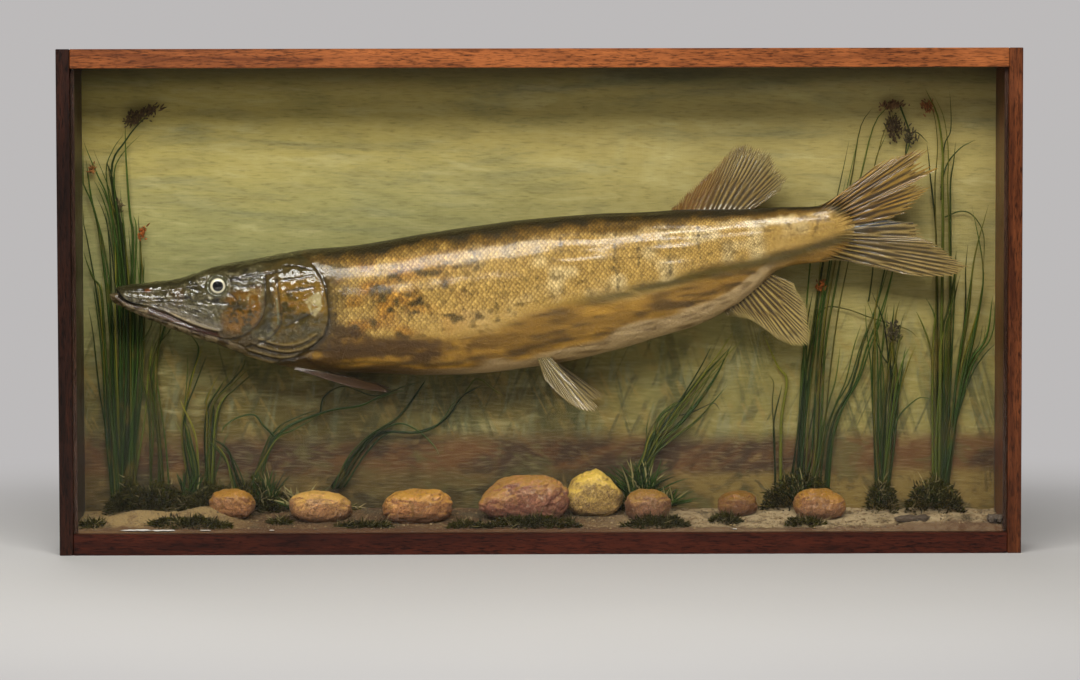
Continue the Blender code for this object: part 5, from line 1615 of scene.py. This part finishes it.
def make_eye(name, side):
    """A lens: height falls from the middle to the rim as a circle's arc, with a flat back."""
    share = np.linspace(0, 1, EYE_RINGS)[1:]
    turn = np.linspace(0, 2 * np.pi, EYE_SIDES, endpoint=False)
    r = np.repeat(share[:, None], EYE_SIDES, 1) * EYE_RADIUS
    dome = EYE_HEIGHT * np.sqrt(np.clip(1 - (r / (EYE_RADIUS * 1.015)) ** 2, 0, 1))
    lens_y = flank_at(EYE) - EYE_SINK
    rows = np.stack([EYE[0] + r * np.cos(turn), side * (lens_y + dome), EYE[1] + r * np.sin(turn)], -1)
    back_y = side * (lens_y - EYE_BACK)
    points = np.concatenate([[(EYE[0], side * (lens_y + EYE_HEIGHT), EYE[1])], rows.reshape(-1, 3),
                             rows[-1] * (1, 0, 1) + (0, back_y, 0), [(EYE[0], back_y, EYE[1])]])
    last_ring = 1 + (EYE_RINGS - 1) * EYE_SIDES
    faces = [fan(0, 1, EYE_SIDES), net(EYE_RINGS, EYE_SIDES, True, 1)[:, ::-1],
             fan(last_ring + EYE_SIDES, last_ring, EYE_SIDES, True)]
    made = piece(name, into_case(points), faces, painted_glass)
    from_middle = np.hypot(points[:, 0] - EYE[0] - 0.0004, points[:, 2] - EYE[1])
    tint(made, "hide", painted((0.004, 0.004, 0.005),
                               ((0.840, 0.800, 0.610), ease(from_middle, PUPIL, PUPIL + 0.0004)),
                               ((0.620, 0.560, 0.370), ease(from_middle, 0.0078, 0.0088)),
                               ((0.060, 0.050, 0.030), ease(from_middle, 0.0090, 0.0097))))
    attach(made, "root")
    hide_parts("eye_left" if side < 0 else "eye_right")


make_eye("eye_near", -1)
make_eye("eye_far", 1)


# ------------------------------------------------------------ fish: fins
# The real fins, dried stiff and painted over: bony rays that branch twice towards a worn,
# split edge, with thin skin between them. Their roots run into the body.
def fin_finish():
    """Dry painted skin: the ray colours, fine cross joints, and a thin varnish."""
    f = Finish("dried_fin")
    hide = f.own_colour("hide")
    here = f.place()
    fine = f.noise(here, 1100, 4, 0.65)
    stain = f.noise(here, 90, 4, 0.6)
    colour = f.coats(hide, (f.mix(0.6, hide, (0.040, 0.028, 0.012)), f.between(fine, 0.46, 0.28)),
                     ((0.095, 0.048, 0.012), f.between(stain, 0.56, 0.74), 0.45))
    return f.done(colour, f.bump(fine, 0.0007), roughness=0.5, specular_ior_level=0.15,
                  coat_weight=0.75, coat_roughness=0.12)[0]


dried_fin = fin_finish()
POINTS_PER_RAY = 16


def spaced(values, shares):
    """Values spaced evenly from 0 to 1, read at shares between."""
    return np.interp(shares, np.linspace(0, 1, len(values)), values)


def over_fin(across, along, seed):
    """Soft random values over two measures of a fin, one lump to each unit."""
    across, along = np.broadcast_arrays(across, along)
    return clouds(np.stack([across, along, 0 * across], -1), 1.0, seed)


def make_fin(name, node, root, tips, rays, seed, colours, flat=None, thick=0.0015, fray=0.012, steps=64,
             swell=0.0, lead_share=0.14, beads=0.0):
    """A fin as two sheets closed at the edges. A point is the root line plus a share v of the way to
    the tip line; the half thickness is a cosine across each ray, which becomes two rays past the
    middle and four near the edge; the edge is cut back between the rays. The root is points in side
    view in millimetres, and a tip is its share of the way along in thousandths and then its point."""
    rng = np.random.default_rng(seed)
    columns = rays * POINTS_PER_RAY + 1
    u = np.linspace(0, 1, columns)[None, :]
    v = np.linspace(0, 1, steps)[:, None]
    root_at = np.stack([spaced(measure, u[0]) for measure in mm(*root).T], -1)
    tip_share, tip_x, tip_z = mm(*tips).T
    tip_at = np.stack([np.interp(u[0], tip_share, measure) for measure in (tip_x, tip_z)], -1)
    wander = 0.10 * over_fin(0.6 * rays * u, 3 * v, seed)
    knots = np.concatenate([[0], np.cumsum(rng.uniform(0.65, 1.35, rays))])
    phase = np.interp(u, knots / knots[-1], np.arange(rays + 1)) + wander * v
    one, two, four = (0.5 - 0.5 * np.cos(2 * np.pi * phase * n) for n in (1, 2, 4))
    first, second = ease(v, 0.42, 0.60), ease(v, 0.84, 0.96)
    crest = one ** 1.5 * (1 - first) + two ** 1.4 * first * (1 - second) + four ** 1.2 * second
    ray_length = np.interp(phase[-1] % rays, np.arange(rays + 1), rng.uniform(0, 1, rays + 1))
    split = spaced(rng.uniform(0, 1, rays * 4 + 1) ** 2, u[0])
    worn = np.clip(over_fin(7 * u[0], 0.0, seed + 3), 0, 1)
    cut = fray * ((1 - crest[-1]) * (0.4 + 0.9 * split) + 0.5 * ray_length + 0.5 * worn)
    length = np.linalg.norm(tip_at - root_at, axis=1)
    reach = 1 - np.clip(cut / length, 0, 0.5) * ease(np.minimum(u[0], 1 - u[0]), -0.02, 0.06)
    side = root_at + (tip_at - root_at) * (v * reach)[..., None]
    rooted = swell * np.clip(1 - v / 0.42, 0, 1) ** 1.5
    half = ((thick / 2) * (1 - 0.62 * v) + rooted) * (0.18 + 0.82 * crest)
    sway = 0.0016 * v * over_fin(5 * u, 2 * v, seed + 5)
    front, rear = (np.stack([side[..., 0], y, side[..., 1]], -1) for y in (sway - half, sway + half))
    ring = np.concatenate([front, rear[:, ::-1]], 1)
    if flat is not None:
        ring = flat(ring)
    across = 2 * columns
    here = np.arange(columns - 1)
    root_cap = np.stack([here + 1, here, across - 1 - here, across - 2 - here], -1)
    tip_cap = root_cap[:, ::-1] + (steps - 1) * across
    made = piece(name, into_case(ring), [net(steps, across, True), root_cap, tip_cap], dried_fin)
    web, ray, tip_web, lead = (np.array(colour) for colour in colours)
    speck = over_fin(3 * phase, 40 * v, seed + 9)
    mottle = over_fin(9 * u, 7 * v, seed + 10)
    ray_tone = rng.uniform(0.45, 1.15, rays + 2)[np.floor(phase + 0.02).astype(int) % (rays + 2)]
    on_ray = np.clip(ease(crest, 0.45, 0.95) * (0.75 + 0.4 * speck), 0, 1)
    leading = ease(u, lead_share, 0.3 * lead_share) * (0.35 + 0.55 * ease(crest, 0.9, 0.4))
    beaded = beads * ease(crest, 0.6, 0.9) * ease(v, 0.03, 0.06) * ease(v + 0.05 * speck, 0.20, 0.12)
    shade = painted(web,
                    (tip_web, ease(v + 0.25 * mottle, 0.45, 1.0)),
                    (ray * ray_tone[..., None], on_ray),
                    (0.30 * web, ease(crest, 0.42, 0.05) * 0.9),
                    (lead, leading),
                    (0.5 * web, ease(mottle, 0.35, 0.85) * 0.55),
                    ((0.62, 0.58, 0.46), beaded))
    if swell:
        on_body = np.stack([side[..., 0], 0 * phase, side[..., 1]], -1)
        shade = painted(shade, (markings(on_body), ease(v, 0.16, 0.04)))
    tint(made, "hide", np.concatenate([shade, shade[:, ::-1]], 1).reshape(-1, 3))
    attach(made, "root")
    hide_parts(node)


make_fin("fin_dorsal", "dorsal_fin", ((690, 34), (735, 32), (782, 30)),
         ((0, 692, 47), (80, 709, 64), (200, 735, 85), (320, 757, 102), (420, 773, 116.5),
          (550, 791, 121.6), (680, 810, 111), (780, 824, 99), (860, 834, 85), (930, 838, 72),
          (1000, 826, 56)), 17, 61,
         ((0.110, 0.066, 0.010), (0.300, 0.200, 0.050), (0.290, 0.225, 0.075), (0.150, 0.064, 0.006)),
         lead_share=0.60, beads=0.9)
make_fin("fin_anal", "anal_fin", ((742, -76), (772, -56), (800, -40)),
         ((0, 750, -92), (120, 765, -97), (280, 788, -110), (420, 812, -129), (520, 825, -136),
          (640, 846, -136), (720, 852, -128), (820, 852.5, -106), (900, 850.5, -87),
          (1000, 835, -58)), 15, 62,
         ((0.120, 0.070, 0.012), (0.400, 0.290, 0.080), (0.350, 0.260, 0.090), (0.060, 0.038, 0.010)))
make_fin("fin_tail_upper", "tail_fin_upper", ((868, 33.5), (884, 23), (893, 5)),
         ((0, 915, 48), (80, 931, 64.5), (170, 954.6, 84.6), (270, 982, 91), (360, 1002, 98),
          (440, 1020, 96.3), (520, 1004, 84), (600, 1025.6, 70), (700, 992, 53), (780, 1018, 48.9),
          (870, 997, 32), (940, 990, 19.4), (1000, 955, 11)), 10, 63,
         ((0.085, 0.042, 0.003), (0.345, 0.190, 0.024), (0.280, 0.172, 0.030), (0.110, 0.070, 0.012)),
         fray=0.020, swell=0.0065)
make_fin("fin_tail_lower", "tail_fin_lower", ((893, 4), (884, -14), (868, -31.5)),
         ((0, 954.5, 10.5), (100, 992.5, 4.5), (200, 1000.8, -14.6), (300, 1012.4, -22.8),
          (420, 1037.8, -43.3), (520, 1051.6, -55.4), (620, 1034, -66.2), (720, 997, -64.5),
          (800, 975.3, -60.2), (870, 952.6, -52.2), (940, 931.4, -41.9), (1000, 914, -37.5)), 10, 64,
         ((0.095, 0.058, 0.008), (0.385, 0.270, 0.090), (0.230, 0.155, 0.038), (0.030, 0.034, 0.036)),
         fray=0.012, swell=0.0065)

PELVIC_PLACE = (0.5215, 0.024, -0.1255)
PELVIC_LEAN = math.radians(12)
PECTORAL_PLACE = (0.222, 0.030, -0.110)
PECTORAL_PITCH = math.radians(19)
PECTORAL_ROLL = math.radians(14)


def turned(a, b, turn):
    """Two measures turned into each other: a cosine of each and a sine of the other."""
    return a * math.cos(turn) - b * math.sin(turn), a * math.sin(turn) + b * math.cos(turn)


def pelvic_flat(side, swing):
    """Turn the flat fin by its swing, lean it out by its lean about the body's length, and place it."""
    def lay(points):
        """Points of the flat fin, laid at the belly."""
        along, thick, down = np.moveaxis(points, -1, 0)
        along, down = turned(along, down, swing)
        out, down = turned(thick, down, side * PELVIC_LEAN)
        x, y, z = PELVIC_PLACE
        return np.stack([x + along, side * y + out, z + down], -1)
    return lay


def pectoral_flat(side):
    """Lay the fin nearly level, then roll its outer edge down and pitch its tip down."""
    def lay(points):
        """Points of the flat fin, laid behind the gill cover."""
        along, thick, wide = np.moveaxis(points, -1, 0)
        out, up = turned(-side * wide, thick, -side * PECTORAL_ROLL)
        along, up = turned(along, up, -PECTORAL_PITCH)
        x, y, z = PECTORAL_PLACE
        return np.stack([x + along, side * y + out, z + up], -1)
    return lay


PELVIC_TIPS = ((0, -1, -25), (140, 13.5, -43), (300, 31.5, -61.5), (400, 39.5, -67), (550, 57.5, -71),
               (680, 65, -66.5), (820, 51.5, -53), (920, 35, -32.5), (1000, 20, -20))
PECTORAL_TIPS = ((0, 40, 11), (150, 80, 16), (320, 105, 13), (500, 118, 3), (660, 114, -7), (820, 95, -15),
                 (920, 70, -18), (1000, 35, -13))
for word, end, side, swing in (("near", "left", -1, 0.0), ("far", "right", 1, math.radians(9))):
    make_fin("fin_pelvic_" + word, "pelvic_fin_" + end, ((-8.5, 6), (8.5, 6)),
             PELVIC_TIPS, 9, 65,
             ((0.180, 0.128, 0.034), (0.285, 0.208, 0.070), (0.270, 0.190, 0.055), (0.100, 0.070, 0.020)),
             pelvic_flat(side, swing), fray=0.007, steps=48)
    # The pectoral fins are painted near black as painted shade under the body, and their pale leading edge is
    # a painted highlight.
    make_fin("fin_pectoral_" + word, "pectoral_fin_" + end, ((-3, 3.6), (-3, -5.6)),
             PECTORAL_TIPS, 10, 67,
             ((0.022, 0.009, 0.003), (0.070, 0.036, 0.012), (0.050, 0.022, 0.007), (0.240, 0.180, 0.105)),
             pectoral_flat(side), fray=0.008, steps=48)
